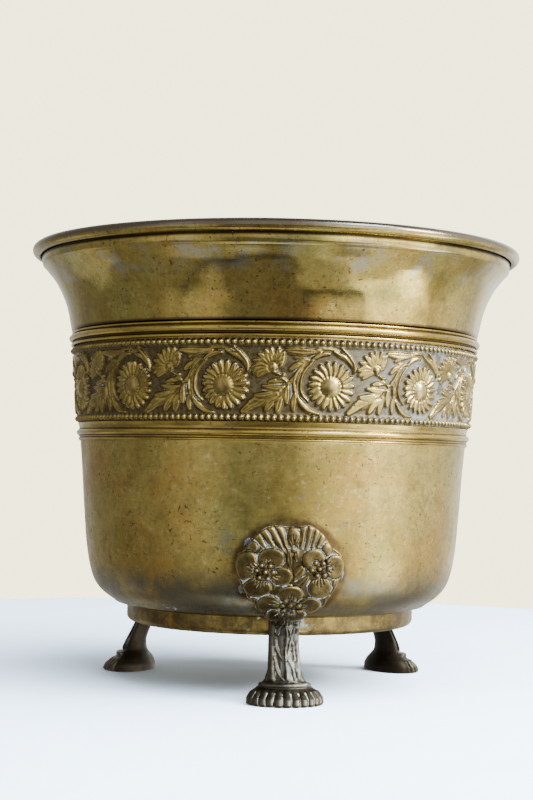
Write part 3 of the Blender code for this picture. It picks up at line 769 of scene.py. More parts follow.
def leg_points():
    """Rings of the gadrooned pedestal, the collar ring and the bark-like column."""
    section = [np.interp(LEG_ROWS, LEG_SECTIONS[:, 0], LEG_SECTIONS[:, k]) for k in range(1, 5)]
    blur = np.ones(BLUR_ROWS) / BLUR_ROWS
    plain = [np.convolve(np.pad(row, BLUR_ROWS // 2, mode="edge"), blur, "valid") for row in section]
    angle = (np.arange(LEG_SIDES) * TURN / LEG_SIDES)[None, :]
    # 1 round the cast front of the leg and 0 on its plain inner side, eased between
    front = np.clip(0.55 - 2.2 * np.sin(angle), 0.0, 1.0)
    front = front * front * (3.0 - 2.0 * front)
    middle, half_width, half_depth, exponent = [
        front * sharp[:, None] + (1.0 - front) * smooth[:, None]
        for sharp, smooth in zip(section, plain)]
    across = np.sign(np.cos(angle)) * np.abs(np.cos(angle)) ** (2.0 / exponent) * half_width
    inward = np.sign(np.sin(angle)) * np.abs(np.sin(angle)) ** (2.0 / exponent) * half_depth
    level = LEG_ROWS[:, None] + np.zeros(across.shape)
    lobe = ((angle / TURN * GADROONS) % 1.0 - 0.5) * 2.0
    top = ramp(level, 3.6, 8.0)
    foot = ramp(level, 1.4, 0.2)
    gadroon = np.sqrt(np.clip(1.0 - lobe ** 2 - top ** 2 - 0.4 * foot, 0.0, 1.0))
    gadroon = gadroon * (level < GADROON_TOP)
    ring = dome(level - RING_HEIGHT)
    bark = np.zeros(across.shape)
    for path, widths, lift in BARK:
        bark = press(bark, stroke(across, level, path, widths, lift, steps=4), 0.3)
    column = ramp(level, BARK_BOTTOM, BARK_BOTTOM + 1.5)
    grain = 0.12 * ring_noise(angle, level, 21, 30, 0.5)
    pedestal = GADROON_LIFT * gadroon - GADROON_BED * (level < 8.6) + RING_LIFT * ring
    lift = front * (pedestal + column * (BARK_LIFT * bark - BARK_BED + grain))
    swell = 1.0 + lift / (np.hypot(across, inward) + 1e-6)
    points = np.stack([across * swell, inward * swell - middle, level], axis=-1)
    hollow = softened(lift, 6) - lift
    return points, hollow, front + np.zeros(hollow.shape)


def foot_mesh():
    """One casting: the plate with its blossoms, the column and the pedestal."""
    plate, plate_hollow = plate_points()
    across, height, lift = np.moveaxis(plate, -1, 0)
    base = plate_base(height)
    middles = [(0.0, -(plate_base(PLATE_CENTRE) + out), PLATE_CENTRE)
               for out in (lift[0].mean(), PLATE_BACK_LIFT)]
    plate_mesh = skin("plate", round_pot(base + lift, across / base, height), False, True, middles)
    add_attribute(plate_mesh, "hollow", plate_hollow)
    heart = np.min([np.hypot(across - x, height - z) for (x, z), _, _ in BLOSSOMS], axis=0)
    add_attribute(plate_mesh, "polish", 1.0 - HEART_RUBBED * bell(heart, 0.0, HEART_REACH), 1.0)
    rings, leg_hollow, leg_polish = leg_points()
    low = (0.0, -LEG_SECTIONS[0][1], 0.0)
    high = (0.0, -LEG_SECTIONS[-1][1], LEG_SECTIONS[-1][0])
    leg = skin("leg", rings, False, True, (low, high))
    add_attribute(leg, "hollow", leg_hollow)
    add_attribute(leg, "polish", leg_polish)
    both = bmesh.new()
    both.from_mesh(plate_mesh)
    both.from_mesh(leg)
    mesh = bpy.data.meshes.new("cast_foot")
    both.to_mesh(mesh)
    both.free()
    mesh.shade_smooth()
    mesh.set_sharp_from_angle(angle=math.radians(80.0))
    return mesh


# ---------------------------------------------------------------- fasteners and solder

SCREW_PROFILE = [
    (1.05, -7.6), (1.5, -7.0), (1.5, 0.0), (3.3, 0.0), (3.4, 0.12), (3.4, 1.7), (3.3, 2.0),
    (3.0, 2.25), (2.4, 2.4),
]
WASHER_THICKNESS = 1.0
WASHER_PROFILE = [
    (1.95, 0.0), (4.5, 0.0), (4.6, 0.1), (4.6, 0.85), (4.45, WASHER_THICKNESS),
    (2.05, WASHER_THICKNESS), (1.95, 0.9),
]
SLOT_WIDTH = 0.9
SLOT_DEPTH = 1.0
CUTTER_HEIGHT = 2.0
CUTTER_LENGTH = 9.0          # longer than the head is wide


def small_turned(name, profile, poles=()):
    """A small piece turned round its own +Z."""
    return skin(name, turned_points(fine_curve(profile, 0.8), 48), not poles, True, poles)


def screw_mesh():
    """Slotted cheese-head screw along +Z, its head's underside at zero."""
    bottom, top = SCREW_PROFILE[0][1], SCREW_PROFILE[-1][1]
    mesh = small_turned("screw", SCREW_PROFILE, ((0.0, 0.0, bottom), (0.0, 0.0, top)))
    body = put("screw_body", mesh)
    cutter_mesh = bpy.data.meshes.new("slot_cutter")
    block = bmesh.new()
    bmesh.ops.create_cube(block, size=MM)
    bmesh.ops.scale(block, vec=(CUTTER_LENGTH, SLOT_WIDTH, CUTTER_HEIGHT), verts=block.verts)
    middle = (top - SLOT_DEPTH + CUTTER_HEIGHT / 2.0) * MM
    bmesh.ops.translate(block, vec=(0.0, 0.0, middle), verts=block.verts)
    block.to_mesh(cutter_mesh)
    block.free()
    cutter = put("slot_cutter", cutter_mesh)
    cut = body.modifiers.new("slot", "BOOLEAN")
    cut.object = cutter
    slotted = bpy.data.meshes.new_from_object(body.evaluated_get(bpy.context.evaluated_depsgraph_get()))
    for piece in (body, cutter):
        bpy.data.objects.remove(piece)
    slotted.set_sharp_from_angle(angle=math.radians(35.0))
    return slotted


def fastener_matrix(height, depth):
    """Frame on the bowl's wall at the front whose Z points inwards, depth in from its face."""
    slope = (bowl_radius(height + 1.0) - bowl_radius(height - 1.0)) / 2.0
    outward = Vector((0.0, -1.0, -slope)).normalized()
    side = Vector((1.0, 0.0, 0.0))
    matrix = Matrix((side, (-outward).cross(side), -outward)).transposed().to_4x4()
    matrix.translation = (Vector((0.0, -bowl_radius(height), height)) - outward * depth) * MM
    return matrix


# Each foot's tacks: name, direction round the plate in degrees, half length and half width.
TACKS = (("upper", 147.0, 2.4, 1.4), ("lower", 203.0, 2.3, 1.3), ("side", -5.0, 3.0, 1.5))
TACK_HEIGHT = 0.75
TACK_LUMPS = 0.12            # how uneven a tack is, as a share of its size
TACK_SIDES = 60              # points round each ring of a tack's mesh
TACK_SEED = 31


def tack_mesh(direction, half_length, half_width, seed):
    """Lumpy blob of soft solder beside the plate."""
    angle = math.radians(direction)
    outline = np.array(PLATE_OUTLINE) - (0.0, PLATE_CENTRE)
    turn = np.arctan2(outline[:, 1], outline[:, 0])
    nearest = np.argmin(np.abs((turn - angle + math.pi) % TURN - math.pi))
    reach = math.hypot(*outline[nearest]) + 0.6 * half_width
    out = np.array((math.cos(angle), math.sin(angle)))
    along = np.array((-out[1], out[0]))
    climb = np.linspace(0.0, 1.5, 14)
    share = np.concatenate([[0.92], np.cos(climb)])
    lift = np.concatenate([[0.0], 0.10 + TACK_HEIGHT * np.sin(climb)])
    swing = np.arange(TACK_SIDES) * TURN / TACK_SIDES
    wide = share[:, None] * (1.0 + TACK_LUMPS * ring_noise(swing, 0.0, seed, 6, 0.0))
    oval = (half_length * np.cos(swing)[:, None] * along
            + half_width * np.sin(swing)[:, None] * out)
    flat = reach * out + (0.0, PLATE_CENTRE) + wide[..., None] * oval
    lumps = TACK_LUMPS * ring_noise(swing, share[:, None] * 9, seed, 5, 1.0)
    lift = lift[:, None] * (1.0 + lumps)
    across, height = np.moveaxis(flat, -1, 0)
    base = bowl_radius(height)
    points = round_pot(base + 0.05 + lift, across / base, height)
    return skin("tack", points, False, True, (points[0].mean(axis=0), points[-1].mean(axis=0)))


def build_feet(finishes):
    """Three feet with their screws, washers and solder tacks."""
    foot = foot_mesh()
    screw = screw_mesh()
    washer = small_turned("washer", WASHER_PROFILE)
    washer.set_sharp_from_angle(angle=math.radians(35.0))
    tacks = {name: tack_mesh(direction, length, width, TACK_SEED + i)
             for i, (name, direction, length, width) in enumerate(TACKS)}
    seat = SHEET + GAP
    for station, degrees in STATIONS:
        turn = Matrix.Rotation(math.radians(degrees), 4, "Z")
        parts = [("cast_foot", "foot", foot, "cast_brass", station, turn)]
        for level, height in zip(("lower", "upper"), SCREW_HEIGHTS):
            for look, node, mesh, depth in (
                    ("turned_washer", "washer", washer, seat),
                    ("turned_screw", "screw", screw, seat + WASHER_THICKNESS + GAP)):
                matrix = turn @ fastener_matrix(height, depth)
                parts.append((look, node, mesh, "fastener_brass", f"{station}_{level}", matrix))
        for name, mesh in tacks.items():
            parts.append(("soft_solder", "solder", mesh, "solder", f"{station}_{name}", turn))
        for look, node, mesh, slot, place, matrix in parts:
            show(f"{look}_{place}", mesh, finishes[slot], f"{node}_{place}", matrix)


# ---------------------------------------------------------------- finishes

class Nodes:
    """Short ways to add shader nodes to a tree; place is the output that noise reads."""

    def __init__(self, tree, coordinates):
        self.tree = tree
        self.place = self.node("ShaderNodeTexCoord").outputs[coordinates]

    def node(self, kind, inputs=(), **settings):
        """A new node with its settings and its inputs, by name or number."""
        node = self.tree.nodes.new(kind)
        for key, value in settings.items():
            setattr(node, key, value)
        for key, value in dict(inputs).items():
            self.join(value, node.inputs[key])
        return node

    def join(self, value, socket):
        """Link an output to a socket, or set the socket's own value."""
        if isinstance(value, bpy.types.NodeSocket):
            self.tree.links.new(value, socket)
        elif socket.type == "RGBA":
            socket.default_value = (*value, 1.0)
        else:
            socket.default_value = value

    def noise(self, scale, detail=4.0, roughness=0.55, stretch=None, distortion=0.0):
        """Noise over the place, about 0 to 1; scale is in waves per unit."""
        place = self.place
        if stretch:
            place = self.node("ShaderNodeMapping", {"Vector": place, "Scale": stretch}).outputs[0]
        inputs = {"Vector": place, "Scale": scale, "Detail": detail, "Roughness": roughness,
                  "Distortion": distortion}
        return self.node("ShaderNodeTexNoise", inputs).outputs["Fac"]

    def attribute(self, name):
        """A number stored on the mesh."""
        return self.node("ShaderNodeAttribute", attribute_name=name).outputs["Fac"]

    def axes(self):
        """X, Y and Z of the place."""
        return self.node("ShaderNodeSeparateXYZ", {0: self.place}).outputs

    def spread(self, value, low, high, out_low=0.0, out_high=1.0):
        """The value stretched so that low to high becomes out_low to out_high, eased."""
        inputs = {0: value, 1: low, 2: high, 3: out_low, 4: out_high}
        return self.node("ShaderNodeMapRange", inputs, interpolation_type="SMOOTHSTEP").outputs[0]

    def math(self, operation, a, b=0.5):
        """One arithmetic step."""
        return self.node("ShaderNodeMath", {0: a, 1: b}, operation=operation).outputs[0]

    def times(self, a, b):
        """The product of two values."""
        return self.math("MULTIPLY", a, b)

    def patches(self, noise, low, high, out_low=0.0, out_high=1.0, **more):
        """Noise of a scale, detail and roughness, spread out into patches."""
        return self.spread(self.noise(*noise, **more), low, high, out_low, out_high)

    def band(self, value, middle, near, far, strength=1.0):
        """Full where the value is within near of the middle, nothing past far."""
        away = self.math("ABSOLUTE", self.math("SUBTRACT", value, middle))
        return self.spread(away, near, far, strength, 0.0)

    def mix(self, share, a, b):
        """Colour a turning into colour b."""
        return self.node("ShaderNodeMix", {0: share, 6: a, 7: b}, data_type="RGBA").outputs[2]


class Finish(Nodes):
    """A material painted in layers on one Principled shader."""

    def __init__(self, name):
        self.material = bpy.data.materials.new(name)
        self.material.use_nodes = True
        super().__init__(self.material.node_tree, "Object")
        self.shader = self.tree.nodes["Principled BSDF"]

    def paint(self, share, colour):
        """Lay a colour over the others, as far as share says."""
        self.colour = self.mix(share, self.colour, colour)

    def mottle(self, noise, low, high, strength, colour, **more):
        """Lay a colour over the others in the patches of a noise."""
        self.paint(self.patches(noise, low, high, 0.0, strength, **more), colour)

    def roughen(self, share, amount):
        """Add to the roughness, as far as share says."""
        self.roughness = self.math("ADD", self.roughness, self.times(share, amount))

    def bump(self, *layers):
        """Chain of bumps, each a (height, distance in metres, strength)."""
        below = {}
        for height, distance, strength in layers:
            inputs = {"Height": height, "Distance": distance, "Strength": strength, **below}
            below = {"Normal": self.node("ShaderNodeBump", inputs).outputs["Normal"]}
        self.join(below["Normal"], self.shader.inputs["Normal"])

    def finish(self, metallic=1.0):
        """Join the results to the shader."""
        self.join(self.roughness, self.shader.inputs["Roughness"])
        self.join(metallic, self.shader.inputs["Metallic"])
        self.join(self.colour, self.shader.inputs["Base Color"])
        return self.material


VERDIGRIS = (0.16, 0.26, 0.20)
RESIDUE_AND_LIGHT = (0.16, 0.165, 0.165)   # dried polish on the frieze, and the pale layer that paints light on its right side
# dried polish on the castings, and the pale layer that paints light on the column's right side
CAST_RESIDUE_AND_LIGHT = (0.255, 0.255, 0.235)
STREAKS = (1.0, 1.0, 14.0)       # noise drawn out into lines round the pot
STRIP_STREAKS = (1.0, 1.0, 9.0)
TURNING_LINES = (1.0, 1.0, 30.0)

# Heights on the sheet and the castings, in metres.
CORNER_TARNISH = 0.052           # the bowl's lower corner
FLARE_FOOT = 0.1970
GREY_PATCHES = 0.229             # below the crease under the rim
SLOT_SHADE = (0.2374, 0.2389, 0.2392, 0.2399)  # painted shade in the gap under the rolled rim: starts, full, full, ends
RIM_TARNISH = (0.2412, 0.2432)
COLUMN_MIDDLE = 0.026
PLATE_TO_COLUMN = (0.036, 0.050)


def spun_brass(name, clean, dull, smooth, rough):
    """Old polished sheet: cloudy tarnish, brown specks, turning lines and a little verdigris, with
    painted shade in the gap under the rolled rim and at the flare's foot.
    """
    coat = Finish(name)
    height = coat.axes()["Z"]
    clear = coat.attribute("clear_of_feet")
    coat.colour = coat.mix(coat.patches((14.0, 7.0, 0.62), 0.36, 0.64, distortion=0.6), clean, dull)
    hue = coat.noise(21.0, 6.0, 0.6, distortion=0.8)
    coat.paint(coat.spread(hue, 0.50, 0.68, 0.0, 0.75), (0.50, 0.30, 0.075))
    coat.paint(coat.spread(hue, 0.34, 0.48, 0.7, 0.0), (0.42, 0.39, 0.12))
    coat.mottle((120.0, 9.0, 0.8), 0.46, 0.68, 0.65, (0.22, 0.155, 0.055))
    coat.mottle((460.0, 6.0, 0.75), 0.44, 0.62, 0.42, (0.25, 0.19, 0.07))
    coat.mottle((310.0, 7.0, 0.7), 0.53, 0.72, 0.55, (0.70, 0.585, 0.29))
    coat.mottle((26.0, 6.0, 0.7), 0.54, 0.72, 0.3, (0.20, 0.145, 0.06), stretch=STREAKS)
    specks = coat.patches((520.0, 4.0, 0.6), 0.585, 0.67, 0.0, 0.85)
    specks = coat.times(specks, coat.patches((45.0, 4.0), 0.36, 0.60))
    coat.paint(specks, (0.07, 0.045, 0.025))
    corner = coat.patches((50.0, 6.0, 0.7), 0.30, 0.58, 0.25, 0.9)
    corner = coat.times(corner, coat.band(height, CORNER_TARNISH, 0.006, 0.020))
    coat.paint(corner, (0.155, 0.145, 0.105))
    halo = coat.times(coat.spread(clear, 0.02, 0.13, 1.0, 0.0), coat.patches((70.0, 5.0), 0.3, 0.55))
    coat.paint(halo, (0.13, 0.085, 0.035))
    near = coat.patches((55.0, 7.0, 0.7), 0.5, 0.62)
    coat.paint(coat.times(near, coat.spread(clear, 0.1, 0.8, 0.8, 0.0)), (0.24, 0.26, 0.20))
    green = coat.patches((28.0, 7.0, 0.7), 0.635, 0.72, 0.0, 0.5)
    coat.paint(green, VERDIGRIS)
    # Dark line at the flare's foot, just above the moulding: painted shade where the two parts meet, and
    # tarnish.
    coat.paint(coat.band(height, FLARE_FOOT, 0.0008, 0.0022, 0.85), (0.05, 0.035, 0.02))
    grey = coat.patches((48.0, 8.0, 0.75), 0.48, 0.62, 0.0, 0.7)
    coat.paint(coat.times(grey, coat.band(height, GREY_PATCHES, 0.004, 0.010)), (0.36, 0.37, 0.31))
    rim = coat.spread(height, *RIM_TARNISH, 0.0, 0.9)
    coat.paint(rim, (0.145, 0.13, 0.12))
    # Painted shade: near black in the gap under the rolled rim, fading down the lip, and on the bead's
    # underside.
    slot = coat.times(coat.spread(height, *SLOT_SHADE[:2], 0.0, 0.97),
                      coat.spread(height, *SLOT_SHADE[2:], 1.0, 0.0))
    coat.paint(slot, (0.012, 0.010, 0.007))
    coat.roughness = coat.patches((75.0, 7.0, 0.7), 0.3, 0.7, smooth, rough)
    for share, amount in ((green, 0.25), (specks, 0.2), (rim, 0.08)):
        coat.roughen(share, amount)
    coat.bump((coat.noise(60.0, 5.0, 0.6, stretch=TURNING_LINES), 0.0001, 0.16),
              (coat.noise(900.0, 4.0, 0.6), 0.0001, 0.14),
              (coat.noise(60.0, 2.0, 0.4), 0.0012, 0.12))
    return coat.finish(coat.spread(green, 0.0, 0.6, 1.0, 0.6))


def embossed_brass(name):
    """Rolled ornament: worn gold on the high parts, dark tarnish and dried polish in the low, and
    painted light towards the pot's right side: brighter gold and a pale grey layer on the ground.
    """
    coat = Finish(name)
    relief = coat.attribute("relief")
    # The pot's right side gets painted light: brighter worn gold on the high parts and a pale grey layer
    # on the low ground.
    lit_side = coat.spread(coat.axes()["X"], -0.03, 0.095)
    high = coat.spread(relief, 0.1, 0.9)
    ground = coat.patches((420.0, 6.0, 0.7), 0.3, 0.7)
    ground = coat.mix(ground, (0.065, 0.049, 0.021), (0.18, 0.145, 0.08))
    metal = coat.patches((120.0, 6.0, 0.65), 0.35, 0.7)
    metal = coat.mix(metal, (0.37, 0.275, 0.076), (0.20, 0.146, 0.041))
    coat.colour = coat.mix(high, ground, metal)
    # Worn gold on the high parts, growing towards the right as a painted highlight.
    rubbed_and_lit = coat.times(coat.spread(relief, 0.9, 1.8), coat.spread(lit_side, 0.0, 1.0, 0.2, 0.75))
    coat.paint(rubbed_and_lit, (0.60, 0.49, 0.215))
    coat.mottle((260.0, 8.0, 0.8), 0.48, 0.64, 0.65, (0.16, 0.115, 0.05))
    # Pale grey layer on the low ground of the right side: painted light, with dried polish.
    film_and_light = coat.times(lit_side, coat.spread(relief, 0.1, 0.9, 1.0, 0.12))
    film_and_light = coat.times(film_and_light, coat.patches((110.0, 8.0, 0.75), 0.34, 0.60, 0.1, 0.65))
    cracks = coat.spread(coat.attribute("hollow"), 0.25, 0.65, 0.0, 0.85)
    cracks = coat.times(cracks, coat.patches((190.0, 5.0, 0.6), 0.40, 0.58))
    residue_and_light = coat.math("MAXIMUM", film_and_light, cracks)
    coat.paint(residue_and_light, RESIDUE_AND_LIGHT)
    coat.roughness = coat.spread(high, 0.0, 1.0, 0.50, 0.24)
    coat.roughen(residue_and_light, 0.3)
    coat.bump((coat.noise(1300.0, 4.0, 0.6), 0.0001, 0.35), (coat.noise(480.0, 5.0, 0.65), 0.0003, 0.25))
    return coat.finish(coat.spread(residue_and_light, 0.1, 0.9, 1.0, 0.15))


def moulding_brass(name):
    """Drawn strip with tarnish lying in its grooves."""
    coat = Finish(name)
    streaks = coat.patches((40.0, 6.0, 0.7), 0.38, 0.68, stretch=STRIP_STREAKS)
    coat.colour = coat.mix(streaks, (0.57, 0.425, 0.11), (0.32, 0.225, 0.06))
    coat.mottle((110.0, 6.0, 0.7), 0.54, 0.74, 0.3, (0.27, 0.25, 0.20))
    groove = coat.spread(coat.attribute("hollow"), 0.0, 0.16, 0.0, 0.93)
    coat.paint(groove, (0.05, 0.034, 0.018))
    coat.mottle((700.0, 3.0, 0.5), 0.62, 0.72, 0.7, (0.06, 0.045, 0.03))
    coat.roughness = coat.patches((90.0, 6.0, 0.65), 0.3, 0.7, 0.13, 0.26)
    coat.roughen(groove, 0.3)
    coat.bump((coat.noise(800.0, 4.0, 0.6), 0.0001, 0.2))
    return coat.finish()


def pan_brass(name):
    """The pan's duller sheet, smeared with polish beside each foot."""
    coat = Finish(name)
    clouds = coat.patches((24.0, 7.0, 0.65), 0.36, 0.64)
    coat.colour = coat.mix(clouds, (0.37, 0.285, 0.09), (0.20, 0.145, 0.05))
    coat.mottle((38.0, 5.0, 0.65), 0.50, 0.66, 0.7, (0.42, 0.25, 0.06))
    coat.mottle((130.0, 8.0, 0.75), 0.40, 0.58, 0.85, (0.11, 0.08, 0.036))
    smear = coat.spread(coat.attribute("clear_of_feet"), 0.0, 0.6, 0.85, 0.0)
    smear = coat.times(smear, coat.patches((95.0, 7.0, 0.75), 0.48, 0.60))
    coat.paint(smear, (0.24, 0.24, 0.21))
    coat.roughness = coat.patches((80.0, 6.0, 0.7), 0.3, 0.7, 0.26, 0.46)
    coat.bump((coat.noise(700.0, 4.0, 0.6), 0.0001, 0.2))
    return coat.finish(coat.spread(smear, 0.0, 0.8, 1.0, 0.25))


def cast_brass(name):
    """Dark old casting: worn petals, polish dried in its grooves, painted shade on the leg's plain inner
    side, and painted light as a pale layer on the column's right side.
    """
    coat = Finish(name)
    hollow = coat.attribute("hollow")
    polish = coat.attribute("polish")
    across, _, height = coat.axes()
    low = coat.spread(height, *PLATE_TO_COLUMN, 0.85, 0.0)
    metal = coat.patches((150.0, 8.0, 0.75), 0.36, 0.66)
    coat.colour = coat.mix(metal, (0.195, 0.148, 0.055), (0.07, 0.052, 0.024))
    coat.paint(low, (0.076, 0.070, 0.057))
    # Painted shade: darker on the leg's plain inner side and in the lowest blossom's heart, below the
    # plate.
    shaded = coat.times(coat.spread(polish, 0.2, 0.8, 1.0, 0.0), low)
    coat.paint(shaded, (0.028, 0.022, 0.016))
    bare = coat.mix(low, (0.50, 0.375, 0.15), (0.20, 0.18, 0.14))
    coat.paint(coat.spread(hollow, -0.10, -0.34, 0.0, 0.6), bare)
    coat.paint(coat.spread(hollow, 0.05, 0.34, 0.0, 0.88), (0.035, 0.027, 0.018))
    cracks = coat.times(coat.spread(hollow, 0.15, 0.44), coat.spread(hollow, 0.6, 1.0, 1.0, 0.1))
    cracks = coat.times(cracks, coat.patches((210.0, 6.0, 0.7), 0.38, 0.56))
    # Pale layer on the column's right side: dried polish, made stronger there as painted light.
    film_and_light = coat.times(coat.spread(across, -0.003, 0.007, 0.1, 0.5),
                      coat.band(height, COLUMN_MIDDLE, 0.014, 0.020))
    film_and_light = coat.times(film_and_light, coat.spread(hollow, 0.0, 0.30, 1.0, 0.1))
    film_and_light = coat.times(film_and_light, coat.patches((260.0, 7.0, 0.75), 0.38, 0.60))
    residue_and_light = coat.times(coat.math("MAXIMUM", cracks, film_and_light), polish)
    coat.paint(residue_and_light, CAST_RESIDUE_AND_LIGHT)
    coat.roughness = coat.patches((160.0, 5.0, 0.6), 0.3, 0.7, 0.26, 0.46)
    coat.roughen(residue_and_light, 0.3)
    coat.roughen(shaded, 0.2)
    coat.bump((coat.noise(380.0, 6.0, 0.7), 0.0004, 0.45), (coat.noise(1800.0, 3.0, 0.6), 0.0001, 0.3))
    return coat.finish(coat.spread(residue_and_light, 0.0, 0.8, 1.0, 0.1))


def plain_metal(name, light, dark, smooth, rough, scale):
    """Small parts: two tones of one metal with a fine grain."""
    coat = Finish(name)
    coat.colour = coat.mix(coat.patches((scale, 6.0, 0.7), 0.35, 0.68), light, dark)
    coat.roughness = coat.patches((2.0 * scale, 5.0, 0.6), 0.3, 0.7, smooth, rough)
    coat.bump((coat.noise(4.0 * scale, 4.0, 0.6), 0.0002, 0.3))
    return coat.finish()


def make_finishes():
    """Every finish, by material slot, and by piece where one differs."""
    return {
        "brass": spun_brass("spun_brass", (0.53, 0.415, 0.125), (0.34, 0.255, 0.06), 0.22, 0.38),
        "collar": spun_brass("collar_brass", (0.53, 0.41, 0.115), (0.35, 0.255, 0.055), 0.06, 0.15),
        "dished_pan": pan_brass("pan_brass"),
        "embossed_brass": moulding_brass("drawn_brass"),
        "frieze": embossed_brass("embossed_brass"),
        "cast_brass": cast_brass("cast_brass"),
        "iron_wire": plain_metal("iron_wire", (0.20, 0.17, 0.15), (0.12, 0.07, 0.04), 0.45, 0.7, 300.0),
        "fastener_brass": plain_metal("screw_brass", (0.50, 0.39, 0.18), (0.30, 0.22, 0.10),
                                      0.30, 0.5, 260.0),
        "solder": plain_metal("soft_solder", (0.27, 0.30, 0.335), (0.15, 0.165, 0.18), 0.4, 0.65, 420.0),
    }


# ---------------------------------------------------------------- stage, light and camera

FLOOR_RADIUS = 530.0
FLOOR_HUB = 4.0              # radius of the first ring of points, round the middle
FLOOR_THICKNESS = 4.0
WEAVE = 420.0                # bands of the linen's weave


def floor_finish():
    """Pale table linen: fine weave and soft creases."""
    coat = Finish("pale_linen")
    waves = [
        coat.node("ShaderNodeTexWave", {"Vector": coat.place, "Scale": WEAVE, "Distortion": 1.5},
                  wave_type="BANDS", bands_direction=direction).outputs["Fac"]
        for direction in "XY"
    ]
    coat.bump((coat.times(*waves), 0.0002, 0.3), (coat.noise(9.0, 3.0, 0.5, distortion=0.8), 0.02, 0.18))
    coat.colour = coat.mix(coat.noise(30.0, 4.0), (0.66, 0.80, 0.97), (0.71, 0.83, 0.98))
    coat.roughness = 0.9
    return coat.finish(0.0)


def build_floor():
    """A round pale table top under the pot, which the brass doesn't mirror."""
    outline = [(FLOOR_HUB, 0.0), (FLOOR_RADIUS - 2.0, 0.0), (FLOOR_RADIUS, -1.0),
               (FLOOR_RADIUS, -FLOOR_THICKNESS), (FLOOR_HUB, -FLOOR_THICKNESS)]
    poles = ((0.0, 0.0, 0.0), (0.0, 0.0, -FLOOR_THICKNESS))
    mesh = skin("table_top", turned_points(outline, 256), False, True, poles)
    mesh.set_sharp_from_angle(angle=math.radians(30.0))
    mesh.materials.append(floor_finish())
    floor = put("table_top", mesh)
    floor.visible_glossy = False


BACKDROP = (1.0, 0.92, 0.58)
BACKDROP_STRENGTH = 4.2

# The room that the metal mirrors: azimuth from the front (degrees, to the right), elevation,
# half width, half height, softness, and how much light it adds.
ROOM = (
    # the upper half of the room
    (0.0, 45.0, 220.0, 50.0, 10.0, 0.24),
    (46.0, 20.0, 30.0, 36.0, 12.0, 2.7),
    (50.0, 8.0, 24.0, 7.0, 4.0, 3.0),
    (100.0, 12.0, 22.0, 38.0, 14.0, 1.4),
    (148.0, 14.0, 18.0, 40.0, 14.0, 1.7),
    (-52.0, 14.0, 14.0, 34.0, 14.0, 0.6),
    (-10.0, 28.0, 18.0, 36.0, 8.0, 0.5),
    (-172.0, 20.0, 22.0, 60.0, 20.0, 0.45),
    # what lies lower: the table's far edge, chairs, the floor of the room
    (66.0, -24.0, 20.0, 14.0, 3.0, 2.3),
    (76.0, -30.0, 5.0, 10.0, 2.0, 3.0),
    (28.0, -54.0, 20.0, 22.0, 3.0, 0.5),
    (66.0, -48.0, 22.0, 14.0, 3.0, 0.85),
    (105.0, -48.0, 18.0, 14.0, 4.0, 0.5),
    (102.0, -52.0, 68.0, 24.0, 8.0, 0.45),
    (-12.0, -36.0, 20.0, 26.0, 5.0, 0.14),
    (-42.0, -30.0, 9.0, 20.0, 3.0, 0.42),
    (-66.0, -66.0, 26.0, 9.0, 4.0, 0.3),
    (-104.0, -44.0, 48.0, 38.0, 6.0, 0.2),
    (-125.0, -28.0, 14.0, 9.0, 3.0, 0.3),
    (0.0, -84.0, 220.0, 9.0, 5.0, 1.1),
)
ROOM_FILL = (0.115, 0.112, 0.105)
ROOM_COLOUR = (1.0, 0.985, 0.93)
ROOM_EDGE = (3.2, 5.0, 0.5)  # noise of the ragged edges of its patches
ROOM_EDGE_WAVER = 34.0       # and how far they stray, in degrees


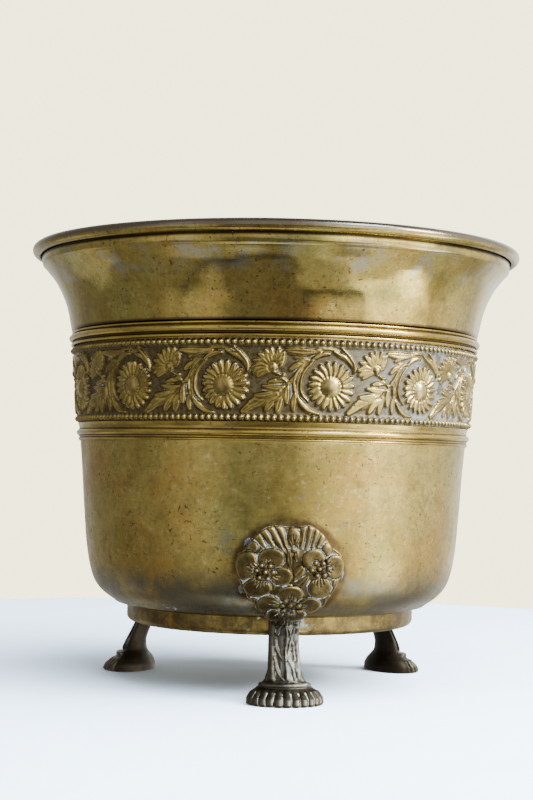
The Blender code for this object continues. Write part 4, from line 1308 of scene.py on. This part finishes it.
def build_world():
    """A pale backdrop to the camera, and a soft room with a window to everything else."""
    world = bpy.data.worlds.new("studio")
    bpy.context.scene.world = world
    world.use_nodes = True
    world.node_tree.nodes.clear()
    sky = Nodes(world.node_tree, "Generated")
    x, y, z = sky.axes()
    waver = sky.times(sky.math("SUBTRACT", sky.noise(*ROOM_EDGE), 0.5), ROOM_EDGE_WAVER)
    azimuth = sky.math("DEGREES", sky.math("ARCTAN2", x, sky.times(y, -1.0)))
    azimuth = sky.math("ADD", azimuth, waver)
    elevation = sky.math("SUBTRACT", sky.math("DEGREES", sky.math("ARCSINE", z)), waver)
    light = 0.0
    for middle, level, half_width, half_height, soft, amount in ROOM:
        patch = sky.times(
            sky.band(azimuth, middle, half_width - soft, half_width + soft),
            sky.band(elevation, level, half_height - soft, half_height + soft))
        light = sky.math("ADD", sky.times(patch, amount), light)
    room, fill, backdrop = [
        sky.node("ShaderNodeBackground", {"Color": colour, "Strength": strength}).outputs[0]
        for colour, strength in (
            (ROOM_COLOUR, light), (ROOM_FILL, 1.0), (BACKDROP, BACKDROP_STRENGTH))
    ]
    around = sky.node("ShaderNodeAddShader", {0: room, 1: fill}).outputs[0]
    camera_ray = sky.node("ShaderNodeLightPath").outputs["Is Camera Ray"]
    choose = sky.node("ShaderNodeMixShader", {0: camera_ray, 1: around, 2: backdrop}).outputs[0]
    sky.node("ShaderNodeOutputWorld", {"Surface": choose})


# Name, place, target's height, size, power, colour, and whether the brass mirrors it.
LIGHTS = (
    ("overhead", (0.6, -0.6, 1.4), 0.1, 2.2, 310.0, (0.84, 0.94, 1.0), False),
    ("window", (1.05, -0.55, 0.75), 0.14, 0.35, 26.0, (1.0, 0.99, 0.96), True),
    ("skylight", (0.7, -0.75, 1.25), 0.24, 0.5, 16.0, (0.66, 0.80, 1.0), True),
)


def build_lights():
    """A window and a cooler skylight on the right, and a wide soft light over the table."""
    for name, place, target, size, power, colour, mirrored in LIGHTS:
        data = bpy.data.lights.new(name, "AREA")
        data.size = size
        data.energy = power
        data.color = colour
        lamp = put(name, data)
        lamp.location = place
        aim = Vector((0.0, 0.0, target)) - Vector(place)
        lamp.rotation_euler = aim.to_track_quat("-Z", "Y").to_euler()
        lamp.visible_glossy = mirrored


CAMERA_PLACE = (-0.0869, -0.9071, 0.1262)
CAMERA_LENS = 70.85
CAMERA_TURN = -5.223         # degrees round Z
CAMERA_TILT = 2.18           # degrees up from level
CAMERA_ROLL = 1.08


def build_camera():
    """The camera, a little above the table and looking slightly up."""
    data = bpy.data.cameras.new("camera")
    data.lens = CAMERA_LENS
    camera = put("camera", data)
    camera.matrix_world = (
        Matrix.Translation(CAMERA_PLACE)
        @ Matrix.Rotation(math.radians(CAMERA_TURN), 4, "Z")
        @ Matrix.Rotation(math.radians(90.0 + CAMERA_TILT), 4, "X")
        @ Matrix.Rotation(math.radians(CAMERA_ROLL), 4, "Z")
    )
    bpy.context.scene.camera = camera


def plain(box):
    """A box as plain lists of numbers."""
    return [[float(value) for value in corner] for corner in box]


finishes = make_finishes()
build_rings(finishes)
build_frieze(finishes["frieze"])
build_feet(finishes)
build_floor()
build_world()
build_lights()
build_camera()
